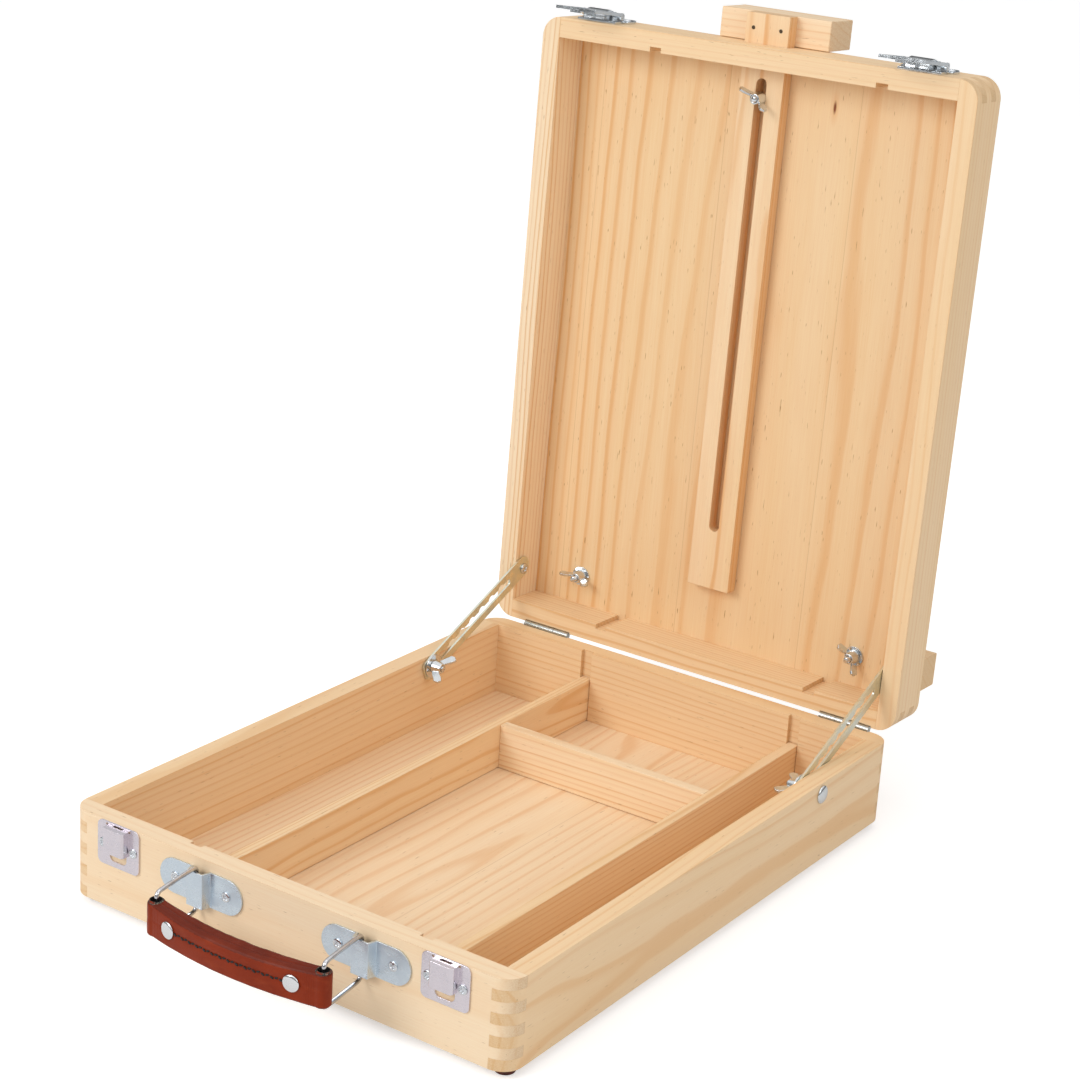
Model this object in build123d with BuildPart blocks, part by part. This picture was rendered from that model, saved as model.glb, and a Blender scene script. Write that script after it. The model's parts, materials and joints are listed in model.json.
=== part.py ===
from build123d import *
from math import asin, atan2, cos, degrees, radians, sin
import os

# Wooden table easel box: a finger-jointed pine tray with a hinged lid that stands
# open on two notched stays. The lid carries a sliding canvas clamp, a canvas ledge
# and two latches. The tray carries a leather carrying handle, strikes and dividers.
# X runs to the right along the front wall, Y to the back, Z up. The origin is on the
# surface that the feet stand on, under the middle of the open easel. Millimetres.

os.makedirs("parts", exist_ok=True)

# Box
box_width = 300.0
box_depth = 397.0
tray_height = 52.0
lid_height = 31.0
rim_gap = 0.8
wall = 12.5
corner_radius = 12.6
tray_fingers = 8
lid_fingers = 5
panel_thickness = 3.0
panel_seat = 4.0
panel_inset = 1.2
lid_opening = 92.3

# Feet
foot_radius = 6.0
foot_height = 5.0
foot_side_inset = 10.0
foot_end_inset = 12.0
foot_bottom_radius = 4.6

# Dividers
divider_thickness = 7.0
divider_height = 29.0
left_divider_inset = 83.5
right_divider_inset = 61.0
cross_divider_inset = 108.2
groove_depth = 3.0
groove_width = 7.8
divider_end_gap = 0.6
floor_gap = 0.3

# Butt hinges
hinge_length = 34.5
left_hinge_inset = 42.0
right_hinge_inset = 33.5
hinge_setback = 1.3
knuckle_radius = 2.2
pin_radius = 1.0
leaf_thickness = 1.2
leaf_height = 13.0
leaf_margin = 2.6
running_clearance = 0.05
knuckle_gap = 0.2
hinge_relief = 0.35

# Small screw heads
screw_head_radius = 2.9
screw_head_height = 1.1
flat_head_radius = 2.7
flat_head_height = 0.7
screw_draft = 32.0
head_sides = 16
rim_sides = 24

# Stays and their bolts
stay_thickness = 1.5
stay_gap = 0.25
stay_half_width = 7.0
stay_screw_offset = 1.5
stay_bolt_inset = 86.5
stay_bolt_drop = 7.0
stay_pivot_before_hinge = 34.1
stay_pivot_above_axis = 7.6
slot_half_width = 2.05
slot_first = 15.5
stay_beyond_bolt = 8.5
stay_corner = 1.6
notch_count = 7
notch_pitch = 11.5
notch_first = 25.5
notch_radius = 3.5
notch_bottom = 3.7
stay_screw_radius = 1.4
stay_screw_head_radius = 3.6
stay_screw_head_height = 1.8
stay_screw_crown = 2.5

# Bolts, washers and wing nuts
bolt_radius = 1.95
bolt_head_radius = 5.6
bolt_head_height = 2.4
bolt_head_crown = 3.6
washer_thickness = 1.0
stay_washer_radius = 8.0
ledge_washer_radius = 6.5
washer_gap = 0.1
nut_base_radius = 4.6
nut_top_radius = 3.2
nut_hub_height = 6.6
wing_span = 22.0
wing_height = 11.6
wing_thickness = 1.7
wing_foot = 1.2
wing_root = 3.0
wing_tip = 2.0
bolt_end_past_nut = 1.0
ledge_bolt_past_nut = 3.6

# Sliding canvas clamp
batten_width = 30.0
batten_thickness = 9.2
batten_clearance = 0.35
batten_lower_inset = 52.0
batten_slot_width = 7.0
batten_slot_top = 20.0
batten_slot_inset = 90.0
clamp_bolt_setback = 32.0
crossbar_width = 76.0
crossbar_height = 18.0
crossbar_depth = 27.0
crossbar_rest_gap = 0.3
bar_chamfer = 0.5
nail_spacing = 19.0
nail_radius = 1.2
nail_head_height = 0.3

# Canvas ledge
ledge_inset = 20.5
ledge_height = 21.0
ledge_depth = 17.0
ledge_bolt_inset = 31.8
left_ledge_bolt_inset = 48.1
right_ledge_bolt_inset = 45.7

# Latches and strikes
left_latch_inset = 37.0
right_latch_inset = 40.2
strike_width = 30.4
strike_bottom = 26.0
strike_corner = 3.5
strike_thickness = 1.0
hood_width = 15.2
hood_bottom = 35.9
hood_top = 50.6
hood_depth = 6.0
hood_sheet = 0.9
hood_edge = 1.2
hood_slot_out = 1.2
cutout_width = 12.4
cutout_bottom = 28.4
cutout_corner = 3.0
hood_slot_width = 7.2
hood_slot_height = 1.7
relief_size = 1.4
strike_screw_x = 10.9
strike_screw_z = 38.8
latch_plate_thickness = 1.5
latch_plate_width = 28.0
latch_plate_above_rim = 3.0
latch_plate_height = 24.0
latch_tab_width = 34.4
latch_tab_height = 11.0
latch_tab_corner = 2.5
latch_screw_x = 13.4
latch_screw_above_rim = 17.0
latch_pin_above_rim = 10.0
latch_pin_height = 4.5
latch_pin_radius = 1.0
latch_pin_length = 29.2
ear_inner = 7.9
ear_thickness = 1.2
ear_radius = 2.4
lever_half_width = 7.5
lever_sheet = 1.1
lever_heel = 2.7
lever_back = 2.6
lever_shoulder = 3.6
lever_shoulder_drop = 3.8
lever_nose = 2.6
lever_nose_drop = 9.5
lever_lip_drop = 10.2
lever_notch_radius = 1.4
hook_half_width = 14.6
hook_sheet = 1.2
hook_flange = 1.9
hook_arm_width = 3.2
hook_reach = 31.4
hook_bar_height = 4.3
hook_tab_width = 7.6
hook_tab_depth = 1.9
hook_face_height = 0.85
hook_rest_angle = 5.5
hook_eye_radius = 2.2

# Handle brackets, wire loops and leather handle
left_loop_inset = 95.8
right_loop_inset = 92.0
bracket_shift = 1.3
bracket_z = 36.0
bracket_length = 58.0
bracket_height = 20.4
bracket_sheet = 1.2
channel_half_width = 7.4
channel_front_half_width = 5.5
channel_depth = 6.2
bracket_screw_spacing = 36.0
wire_radius = 1.35
wire_sides = 12
wire_turn = 90.0
wire_bend = 3.4
bend_steps = 3
loop_z = 35.0
loop_height = 26.2
loop_reach = 36.0
loop_axis_height = 2.7
loop_swing = 7.0
strap_z = 34.3
strap_height = 20.3
strap_end_radius = 4.7
strap_bore = 3.1
strap_thickness = 8.2
strap_bow = 6.5
strap_edge = 1.0
rivet_radius = 4.8
rivet_height = 1.4
rivet_crown = 4.1
rivet_shank_radius = 1.6
rivet_seat = 0.1
rivet_back_radius = 3.6
rivet_back_height = 0.8
rivet_inset = 15.4

# Heights and setbacks that follow from the sizes above
tray_z = foot_height
rim_z = tray_z + tray_height
lid_z = rim_z + rim_gap
lid_top_z = lid_z + lid_height
hinge_z = rim_z + rim_gap / 2
lid_panel_z = lid_top_z - panel_inset - panel_thickness
batten_z = lid_panel_z - batten_clearance - batten_thickness
opening = radians(lid_opening)

# The front wall's place puts the middle of the whole open easel over the origin
crossbar_top = crossbar_rest_gap + crossbar_height
crossbar_back_z = batten_z + batten_thickness + crossbar_depth
rear_reach = (
    box_depth + hinge_setback
    - cos(opening) * (box_depth + hinge_setback + crossbar_top - bar_chamfer)
    + sin(opening) * (crossbar_back_z - hinge_z)
)
left_side = -box_width / 2
right_side = box_width / 2
left_divider_x = left_side + left_divider_inset
right_divider_x = right_side - right_divider_inset
left_hinge_x = left_side + left_hinge_inset
right_hinge_x = right_side - right_hinge_inset
left_latch_x = left_side + left_latch_inset
right_latch_x = right_side - right_latch_inset
swing = radians(loop_swing)
strap_out = loop_axis_height + loop_reach * cos(swing)
handle_reach = strap_out + strap_bow + strap_thickness / 2
front_y = (handle_reach - rear_reach) / 2
back_y = front_y + box_depth
middle_y = front_y + box_depth / 2
hinge_y = back_y + hinge_setback
inner_width = box_width - 2 * wall
inner_depth = box_depth - 2 * wall
left_inside = -inner_width / 2
right_inside = inner_width / 2

# The lid is drawn closed on the tray and then stands open about the hinge line
lid_open = (
    Location((0, hinge_y, hinge_z))
    * Location((0, 0, 0), (-lid_opening, 0, 0))
    * Location((0, -hinge_y, -hinge_z))
)


def shut(plane):
    """A plane of the tray stays where it is."""
    return plane


def opened(plane):
    """Carry a plane of the closed lid to where the open lid holds it."""
    return Plane(lid_open * plane.location)


def finish(piece, name):
    """Label a finished piece and write it."""
    piece.part.label = name
    export_step(piece.part, f"parts/{name}.step")


def crown_on(plane, base_radius, top_radius, height):
    """A low head on a plane, with its wide end down and many small sides."""
    with BuildSketch(plane) as crown:
        RegularPolygon(base_radius, head_sides)
    slope = degrees(atan2(base_radius - top_radius, height))
    extrude(crown.sketch, amount=height, taper=slope)


def front_plane(x, z, out=0.0):
    """A plane on the front wall's outer face: local X right, local Y up, facing out."""
    return Plane(origin=(x, front_y - out, z), x_dir=(1, 0, 0), z_dir=(0, -1, 0))


def back_plane(x, z, out=0.0):
    """A plane on the back wall's outer face: local X left, local Y up, facing out."""
    return Plane(origin=(x, back_y + out, z), x_dir=(-1, 0, 0), z_dir=(0, 1, 0))


def side_plane(x, y, z, toward):
    """A plane square to X: local X to the back (or front), local Y up."""
    return Plane(origin=(x, y, z), x_dir=(0, toward, 0), z_dir=(toward, 0, 0))


# Walls with finger joints


def finger_wall(across_front, setback, bottom, height, fingers, place):
    """One wall of a round-cornered box, with its own half of the corner fingers."""
    pitch = height / fingers
    middle = wall / 2 if setback == 0 else box_depth - wall / 2
    with BuildPart() as piece:
        with BuildSketch(place(Plane.XY.offset(bottom))):
            with Locations((0, middle_y)):
                RectangleRounded(box_width, box_depth, corner_radius)
                Rectangle(inner_width, inner_depth, mode=Mode.SUBTRACT)
        extrude(amount=height)
        with BuildSketch(place(Plane.XY.offset(bottom))):
            if across_front:
                with Locations((0, front_y + middle)):
                    Rectangle(box_width, wall)
            else:
                with Locations((setback * (box_width - wall) / 2, middle_y)):
                    Rectangle(wall, box_depth)
        extrude(amount=height, mode=Mode.INTERSECT)
        for finger in range(fingers):
            own = (finger % 2 == 1) == across_front
            if own:
                continue
            with BuildSketch(place(Plane.XY.offset(bottom + finger * pitch))):
                if across_front:
                    with Locations((0, front_y + middle)):
                        with GridLocations(box_width - wall, 0, 2, 1):
                            Rectangle(wall, wall)
                else:
                    with Locations((setback * (box_width - wall) / 2, middle_y)):
                        with GridLocations(0, box_depth - wall, 1, 2):
                            Rectangle(wall, wall)
            extrude(amount=pitch, mode=Mode.SUBTRACT)
    return piece


def panel_block(bottom, place, spare=0.0):
    """A thin panel whose edges sit in grooves in the four walls."""
    with BuildPart() as piece:
        with BuildSketch(place(Plane.XY.offset(bottom))):
            with Locations((0, middle_y)):
                Rectangle(
                    inner_width + 2 * panel_seat - spare,
                    inner_depth + 2 * panel_seat - spare,
                )
        extrude(amount=panel_thickness)
    return piece


tray_floor_z = tray_z + panel_inset
floor_top_z = tray_floor_z + panel_thickness
divider_bottom_z = floor_top_z + floor_gap
divider_top_z = divider_bottom_z + divider_height
latch_centres = (left_latch_x, right_latch_x)
strike_screw_points = [
    (centre + end * strike_screw_x, tray_z + strike_screw_z)
    for centre in latch_centres
    for end in (-1, 1)
]
loop_centres = (left_side + left_loop_inset, right_side - right_loop_inset)
loop_spacing = loop_centres[1] - loop_centres[0]
bracket_centres = [centre + bracket_shift for centre in loop_centres]
bracket_screw_points = [
    (centre + end * bracket_screw_spacing / 2, tray_z + bracket_z)
    for centre in bracket_centres
    for end in (-1, 1)
]
hinge_screw_offset = hinge_length / 2 - 7.0
hinge_centres = (left_hinge_x, right_hinge_x)
tray_hinge_screw_z = rim_z - leaf_margin - leaf_height / 2
lid_hinge_screw_z = lid_z + leaf_margin + leaf_height / 2
latch_screw_z = lid_z + latch_screw_above_rim


def cut_grooves(bottom, top, y, place):
    """The upright grooves that take the ends of the long dividers."""
    with BuildPart(mode=Mode.PRIVATE) as cutter:
        with BuildSketch(place(Plane.XY.offset(bottom))):
            with Locations((left_divider_x, y), (right_divider_x, y)):
                Rectangle(groove_width, 2 * groove_depth)
        extrude(amount=top - bottom)
    return cutter


floor_seat = panel_block(tray_floor_z, shut)
front_grooves = cut_grooves(divider_bottom_z - floor_gap, rim_z, front_y + wall, shut)
back_grooves = cut_grooves(divider_bottom_z - floor_gap, rim_z, back_y - wall, shut)

with BuildPart() as tray_front_wall:
    add(finger_wall(True, 0, tray_z, tray_height, tray_fingers, shut).part)
    add(floor_seat.part, mode=Mode.SUBTRACT)
    add(front_grooves.part, mode=Mode.SUBTRACT)
finish(tray_front_wall, "tray_front_wall")

with BuildPart() as tray_back_wall:
    add(finger_wall(True, 1, tray_z, tray_height, tray_fingers, shut).part)
    add(floor_seat.part, mode=Mode.SUBTRACT)
    add(back_grooves.part, mode=Mode.SUBTRACT)
    for centre in hinge_centres:
        with BuildSketch(side_plane(centre, hinge_y, hinge_z, 1)):
            Circle(knuckle_radius + hinge_relief)
        extrude(amount=hinge_length / 2 + 0.5, both=True, mode=Mode.SUBTRACT)
finish(tray_back_wall, "tray_back_wall")

# Each side wall has one hole for the carriage bolt that the stay runs on
stay_bolt_y = back_y - stay_bolt_inset
stay_bolt_z = rim_z - stay_bolt_drop


def tray_side_wall(side, name):
    """A side wall of the tray, bored for its stay bolt."""
    with BuildPart() as piece:
        add(finger_wall(False, side, tray_z, tray_height, tray_fingers, shut).part)
        add(floor_seat.part, mode=Mode.SUBTRACT)
        with BuildSketch(side_plane(side * box_width / 2, stay_bolt_y, stay_bolt_z, 1)):
            Circle(bolt_radius)
        extrude(amount=wall, both=True, mode=Mode.SUBTRACT)
    finish(piece, name)


tray_side_wall(-1, "tray_left_wall")
tray_side_wall(1, "tray_right_wall")

tray_floor = floor_seat
finish(tray_floor, "tray_floor")

# Feet: four low round feet under the corners, narrower at the bottom
with BuildPart() as tray_feet:
    for side in (-1, 1):
        for foot_y in (front_y + foot_end_inset, back_y - foot_end_inset):
            foot_x = side * (box_width / 2 - foot_side_inset)
            crown_on(
                Plane(origin=(foot_x, foot_y, foot_height), z_dir=(0, 0, -1)),
                foot_radius, foot_bottom_radius, foot_height,
            )
finish(tray_feet, "tray_feet")

# Dividers: two long ones in the wall grooves and one across between them


def long_divider(x, name):
    """A thin board from the front groove to the back groove."""
    with BuildPart() as piece:
        with BuildSketch(Plane.XY.offset(divider_bottom_z)):
            with Locations((x, middle_y)):
                Rectangle(
                    divider_thickness,
                    inner_depth + 2 * groove_depth - 2 * divider_end_gap,
                )
        extrude(amount=divider_height)
    finish(piece, name)


long_divider(left_divider_x, "left_divider")
long_divider(right_divider_x, "right_divider")

cross_left = left_divider_x + divider_thickness / 2
cross_right = right_divider_x - divider_thickness / 2
with BuildPart() as cross_divider:
    with BuildSketch(Plane.XY.offset(divider_bottom_z)):
        with Locations(((cross_left + cross_right) / 2, back_y - cross_divider_inset)):
            Rectangle(cross_right - cross_left, divider_thickness)
    extrude(amount=divider_height)
finish(cross_divider, "cross_divider")

# Lid walls

lid_seat = panel_block(lid_panel_z, opened)
lid_front_grooves = cut_grooves(lid_z, lid_panel_z, front_y + wall, opened)
lid_back_grooves = cut_grooves(lid_z, lid_panel_z, back_y - wall, opened)

with BuildPart() as lid_front_wall:
    add(finger_wall(True, 0, lid_z, lid_height, lid_fingers, opened).part)
    add(lid_seat.part, mode=Mode.SUBTRACT)
    add(lid_front_grooves.part, mode=Mode.SUBTRACT)
    # The batten slides through this slot
    with BuildSketch(opened(Plane.XY.offset(batten_z - batten_clearance))):
        with Locations((0, front_y + wall / 2)):
            Rectangle(batten_width + 2 * batten_clearance, 2 * wall)
    extrude(amount=lid_panel_z - batten_z + batten_clearance, mode=Mode.SUBTRACT)
finish(lid_front_wall, "lid_front_wall")

with BuildPart() as lid_back_wall:
    add(finger_wall(True, 1, lid_z, lid_height, lid_fingers, opened).part)
    add(lid_seat.part, mode=Mode.SUBTRACT)
    add(lid_back_grooves.part, mode=Mode.SUBTRACT)
    for centre in hinge_centres:
        with BuildSketch(side_plane(centre, hinge_y, hinge_z, 1)):
            Circle(knuckle_radius + hinge_relief)
        extrude(amount=hinge_length / 2 + 0.5, both=True, mode=Mode.SUBTRACT)
finish(lid_back_wall, "lid_back_wall")

for side, name in ((-1, "lid_left_wall"), (1, "lid_right_wall")):
    with BuildPart() as lid_side_wall:
        add(finger_wall(False, side, lid_z, lid_height, lid_fingers, opened).part)
        add(lid_seat.part, mode=Mode.SUBTRACT)
    finish(lid_side_wall, name)

# The lid panel is bored for the clamp bolt and the two ledge bolts
clamp_bolt_y = front_y + clamp_bolt_setback
ledge_bolt_y = back_y - ledge_bolt_inset
ledge_y = back_y - ledge_inset - ledge_height / 2
ledge_bolt_points = (
    (left_side + left_ledge_bolt_inset, ledge_bolt_y),
    (right_side - right_ledge_bolt_inset, ledge_bolt_y),
)
with BuildPart() as lid_panel:
    add(lid_seat.part)
    with BuildSketch(opened(Plane.XY.offset(lid_panel_z))):
        with Locations((0, clamp_bolt_y), *ledge_bolt_points):
            Circle(bolt_radius)
    extrude(amount=panel_thickness, mode=Mode.SUBTRACT)
finish(lid_panel, "lid_panel")

# Small screw heads, drawn on planes that face out of the sheet they hold


def screws(planes, name, head_radius=screw_head_radius, head_height=screw_head_height):
    """A set of screw heads with sloping sides, one on each plane."""
    with BuildPart() as piece:
        for plane in planes:
            with BuildSketch(plane):
                RegularPolygon(head_radius, head_sides)
            extrude(amount=head_height, taper=screw_draft)
    finish(piece, name)


screws(
    [front_plane(x, z, strike_thickness) for x, z in strike_screw_points],
    "strike_screws",
)
screws(
    [front_plane(x, z, bracket_sheet) for x, z in bracket_screw_points],
    "bracket_screws",
)
hinge_screw_x = [c + s * hinge_screw_offset for c in hinge_centres for s in (-1, 1)]
screws(
    [back_plane(x, tray_hinge_screw_z, leaf_thickness) for x in hinge_screw_x],
    "hinge_tray_screws", flat_head_radius, flat_head_height,
)
screws(
    [opened(back_plane(x, lid_hinge_screw_z, leaf_thickness)) for x in hinge_screw_x],
    "hinge_lid_screws", flat_head_radius, flat_head_height,
)
screws(
    [
        opened(front_plane(centre + end * latch_screw_x, latch_screw_z, latch_plate_thickness))
        for centre in latch_centres
        for end in (-1, 1)
    ],
    "latch_screws",
)

# Butt hinges: the tray leaf has the two outer knuckles, the lid leaf the middle one
knuckle_length = hinge_length / 3


def hinge_leaf(centre, upward, knuckles, bore, place, name):
    """A leaf with its knuckles round the hinge line."""
    screw_z = hinge_z + upward * (rim_gap / 2 + leaf_margin + leaf_height / 2)
    with BuildPart() as piece:
        with BuildSketch(place(back_plane(centre, screw_z))):
            Rectangle(hinge_length, leaf_height)
        extrude(amount=leaf_thickness)
        for index in knuckles:
            x = centre + index * knuckle_length
            span = knuckle_length - knuckle_gap
            with BuildSketch(place(side_plane(x, hinge_y, hinge_z, 1))):
                RegularPolygon(knuckle_radius, rim_sides)
                with Locations(
                    (-hinge_setback + leaf_thickness / 2, upward * (leaf_margin + 1) / 2)
                ):
                    Rectangle(leaf_thickness, leaf_margin + 1)
                Circle(bore, mode=Mode.SUBTRACT)
            extrude(amount=span / 2, both=True)
    finish(piece, name)


for centre, name in ((left_hinge_x, "left"), (right_hinge_x, "right")):
    hinge_leaf(centre, -1, (-1, 1), pin_radius, shut, f"{name}_hinge_tray_leaf")
    hinge_leaf(
        centre, 1, (0,), pin_radius + running_clearance, opened, f"{name}_hinge_lid_leaf"
    )

with BuildPart() as hinge_pins:
    for centre in hinge_centres:
        with BuildSketch(side_plane(centre, hinge_y, hinge_z, 1)):
            Circle(pin_radius)
        extrude(amount=hinge_length / 2, both=True)
finish(hinge_pins, "hinge_pins")

# Carriage bolts, washers and wing nuts, all drawn along the local Z of a plane


def carriage_bolt(planes, shank_length, name):
    """Bolts with a low domed head behind the plane and a shank in front of it."""
    with BuildPart() as piece:
        for plane in planes:
            with BuildSketch(plane):
                Circle(bolt_radius)
            extrude(amount=shank_length)
            behind = Plane(origin=plane.origin, x_dir=plane.x_dir, z_dir=-plane.z_dir)
            crown_on(behind, bolt_head_radius, bolt_head_crown, bolt_head_height)
    finish(piece, name)


def washer(planes, radius, name, bore=bolt_radius):
    """Flat round washers standing on their planes."""
    with BuildPart() as piece:
        for plane in planes:
            with BuildSketch(plane):
                RegularPolygon(radius, rim_sides)
                Circle(bore, mode=Mode.SUBTRACT)
            extrude(amount=washer_thickness)
    finish(piece, name)


def wing_nut(plane, turn, name):
    """A wing nut standing on its plane, with its wings turned about the bolt."""
    angle = radians(turn)
    span_way = plane.x_dir * cos(angle) + plane.y_dir * sin(angle)
    turned = Plane(origin=plane.origin, x_dir=span_way, z_dir=plane.z_dir)
    upright = Plane(origin=turned.origin, x_dir=turned.x_dir, z_dir=turned.y_dir)
    half_span = wing_span / 2
    with BuildPart() as piece:
        crown_on(turned, nut_base_radius, nut_top_radius, nut_hub_height)
        for hand in (-1, 1):
            with BuildSketch(upright):
                with BuildLine():
                    Polyline(
                        (hand * wing_foot, -wing_foot),
                        (hand * nut_base_radius, -wing_foot),
                        (hand * half_span, -wing_height + wing_tip + wing_root),
                        (hand * half_span, -wing_height + wing_tip),
                        (hand * (half_span - wing_tip), -wing_height),
                        (hand * (half_span - 2 * wing_tip), -wing_height + wing_foot),
                        (hand * wing_root, -nut_hub_height + wing_foot),
                        (hand * wing_foot, -nut_hub_height + wing_foot),
                        close=True,
                    )
                make_face()
            extrude(amount=wing_thickness / 2, both=True)
        with BuildSketch(turned):
            Circle(bolt_radius + running_clearance)
        extrude(amount=wing_height, mode=Mode.SUBTRACT)
    finish(piece, name)


# The stay lies on the walls' inner faces, then come its washer and wing nut


def stay_line(side):
    """The bolt's place on the inner face and the way the stay points from it."""
    wall_x = side * right_inside
    stay_x = wall_x - side * stay_gap
    washer_x = stay_x - side * (stay_thickness + washer_gap)
    nut_x = washer_x - side * (washer_thickness + washer_gap)
    return wall_x, stay_x, washer_x, nut_x


# Where the open lid holds the stay's pivot, from its place in the closed lid
pivot_y = hinge_y + cos(opening) * -stay_pivot_before_hinge + sin(opening) * stay_pivot_above_axis
pivot_z = hinge_z + sin(opening) * stay_pivot_before_hinge + cos(opening) * stay_pivot_above_axis
pivot_distance = ((pivot_y - stay_bolt_y) ** 2 + (pivot_z - stay_bolt_z) ** 2) ** 0.5
pivot_rise = degrees(atan2(pivot_z - stay_bolt_z, pivot_y - stay_bolt_y))
stay_rise = pivot_rise + degrees(asin(stay_screw_offset / pivot_distance))
stay_reach = (pivot_distance ** 2 - stay_screw_offset ** 2) ** 0.5
stay_bolt_shank = wall + stay_gap + stay_thickness + 2 * washer_gap + washer_thickness
stay_bolt_shank = stay_bolt_shank + nut_hub_height + bolt_end_past_nut

carriage_bolt(
    [
        Plane(
            origin=(side * box_width / 2, stay_bolt_y, stay_bolt_z),
            x_dir=(0, 1, 0),
            z_dir=(-side, 0, 0),
        )
        for side in (-1, 1)
    ],
    stay_bolt_shank,
    "stay_bolts",
)


def stay_plane(side, x):
    """A plane at the bolt, facing the middle of the box, with X along the stay."""
    rise = radians(stay_rise)
    return Plane(
        origin=(x, stay_bolt_y, stay_bolt_z),
        x_dir=(0, cos(rise), sin(rise)),
        z_dir=(-side, 0, 0),
    )


def stay(side, name):
    """A flat notched stay: a long window with a straight side and a scalloped side."""
    wall_x, stay_x, washer_x, nut_x = stay_line(side)
    plane = stay_plane(side, stay_x)
    # On the left the sketch's Y points up, on the right it points down
    up = -side
    far = stay_reach
    near = -stay_beyond_bolt
    first = stay_reach - slot_first
    middle = -up * stay_screw_offset
    with BuildPart() as piece:
        with BuildSketch(plane):
            with BuildLine():
                Line((near, -stay_half_width), (far, -stay_half_width))
                ThreePointArc(
                    (far, -stay_half_width),
                    (far + stay_half_width, 0),
                    (far, stay_half_width),
                )
                Line((far, stay_half_width), (near, stay_half_width))
                Line((near, stay_half_width), (near, -stay_half_width))
            make_face()
            with Locations((near, stay_half_width), (near, -stay_half_width)):
                Rectangle(2 * stay_corner, 2 * stay_corner, rotation=45, mode=Mode.SUBTRACT)
            with Locations(((first - bolt_radius - 0.3) / 2, 0)):
                SlotOverall(
                    first + bolt_radius + 0.3,
                    2 * slot_half_width,
                    mode=Mode.SUBTRACT,
                )
            for notch in range(notch_count):
                along = stay_reach - notch_first - notch * notch_pitch
                with Locations((along, up * (notch_bottom - notch_radius))):
                    Circle(notch_radius, mode=Mode.SUBTRACT)
            # The lower side of the window runs on unbroken past the notches
            with Locations((first / 2, -up * (stay_half_width + slot_half_width) / 2)):
                Rectangle(first + 2.0, stay_half_width - slot_half_width)
            with Locations((stay_reach, middle)):
                Circle(stay_screw_radius, mode=Mode.SUBTRACT)
        extrude(amount=stay_thickness)
    finish(piece, name)


def stay_hardware(side, hand, nut_turn):
    """The washer, wing nut and pivot screw of one stay."""
    wall_x, stay_x, washer_x, nut_x = stay_line(side)
    washer(
        [stay_plane(side, washer_x)], stay_washer_radius, f"{hand}_stay_washer",
        bolt_radius + running_clearance,
    )
    wing_nut(stay_plane(side, nut_x), nut_turn, f"{hand}_stay_wing_nut")
    pivot = Plane(
        origin=(stay_x - side * stay_thickness, pivot_y, pivot_z),
        x_dir=(0, 1, 0),
        z_dir=(-side, 0, 0),
    )
    with BuildPart() as piece:
        with BuildSketch(pivot):
            Circle(stay_screw_radius)
        extrude(amount=-stay_thickness)
        crown_on(pivot, stay_screw_head_radius, stay_screw_crown, stay_screw_head_height)
    finish(piece, f"{hand}_stay_screw")


stay(-1, "left_stay")
stay(1, "right_stay")
stay_hardware(-1, "left", 8.0)
stay_hardware(1, "right", 14.0)

# Canvas ledge across the back of the lid, on two bolts
ledge_z = lid_top_z
with BuildPart() as canvas_ledge:
    with BuildSketch(opened(Plane.XY.offset(ledge_z))):
        with Locations((0, ledge_y)):
            Rectangle(box_width, ledge_height)
    extrude(amount=ledge_depth)
    chamfer(canvas_ledge.edges().filter_by(Axis.X), length=0.6)
    with BuildSketch(opened(Plane.XY.offset(ledge_z))):
        with Locations(*ledge_bolt_points):
            Circle(bolt_radius)
    extrude(amount=ledge_depth, mode=Mode.SUBTRACT)
finish(canvas_ledge, "canvas_ledge")

ledge_washer_z = lid_panel_z
ledge_nut_z = ledge_washer_z - washer_thickness - washer_gap
ledge_bolt_shank = ledge_z + ledge_depth - ledge_nut_z + nut_hub_height + ledge_bolt_past_nut


def inward(x, y, z):
    """A plane in the lid that faces down into its hollow."""
    return opened(Plane(origin=(x, y, z), x_dir=(1, 0, 0), z_dir=(0, 0, -1)))


carriage_bolt(
    [inward(x, y, ledge_z + ledge_depth) for x, y in ledge_bolt_points],
    ledge_bolt_shank,
    "ledge_bolts",
)
washer(
    [inward(x, y, ledge_washer_z) for x, y in ledge_bolt_points],
    ledge_washer_radius,
    "ledge_washers",
)
wing_nut(inward(*ledge_bolt_points[0], ledge_nut_z), -11.0, "left_ledge_wing_nut")
wing_nut(inward(*ledge_bolt_points[1], ledge_nut_z), -51.0, "right_ledge_wing_nut")

# Sliding canvas clamp: a slotted batten with a crossbar nailed to its top
clamp_nut_z = batten_z - washer_gap
clamp_shank = lid_panel_z + panel_thickness - clamp_nut_z + nut_hub_height + bolt_end_past_nut
carriage_bolt(
    [inward(0, clamp_bolt_y, lid_panel_z + panel_thickness)], clamp_shank, "clamp_bolt"
)
wing_nut(inward(0, clamp_bolt_y, clamp_nut_z), -32.0, "clamp_wing_nut")

crossbar_y = front_y - crossbar_rest_gap - crossbar_height / 2
nail_points = [(-nail_spacing / 2, crossbar_y), (nail_spacing / 2, crossbar_y)]
batten_end_y = back_y - batten_lower_inset
slot_end_y = back_y - batten_slot_inset
with BuildPart() as clamp_batten:
    with BuildSketch(opened(Plane.XY.offset(batten_z))):
        with Locations((0, (front_y - crossbar_top + batten_end_y) / 2)):
            Rectangle(batten_width, batten_end_y - front_y + crossbar_top)
        with Locations((0, (front_y + batten_slot_top + slot_end_y) / 2)):
            SlotOverall(
                slot_end_y - front_y - batten_slot_top,
                batten_slot_width,
                rotation=90,
                mode=Mode.SUBTRACT,
            )
    extrude(amount=batten_thickness)
finish(clamp_batten, "clamp_batten")

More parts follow.
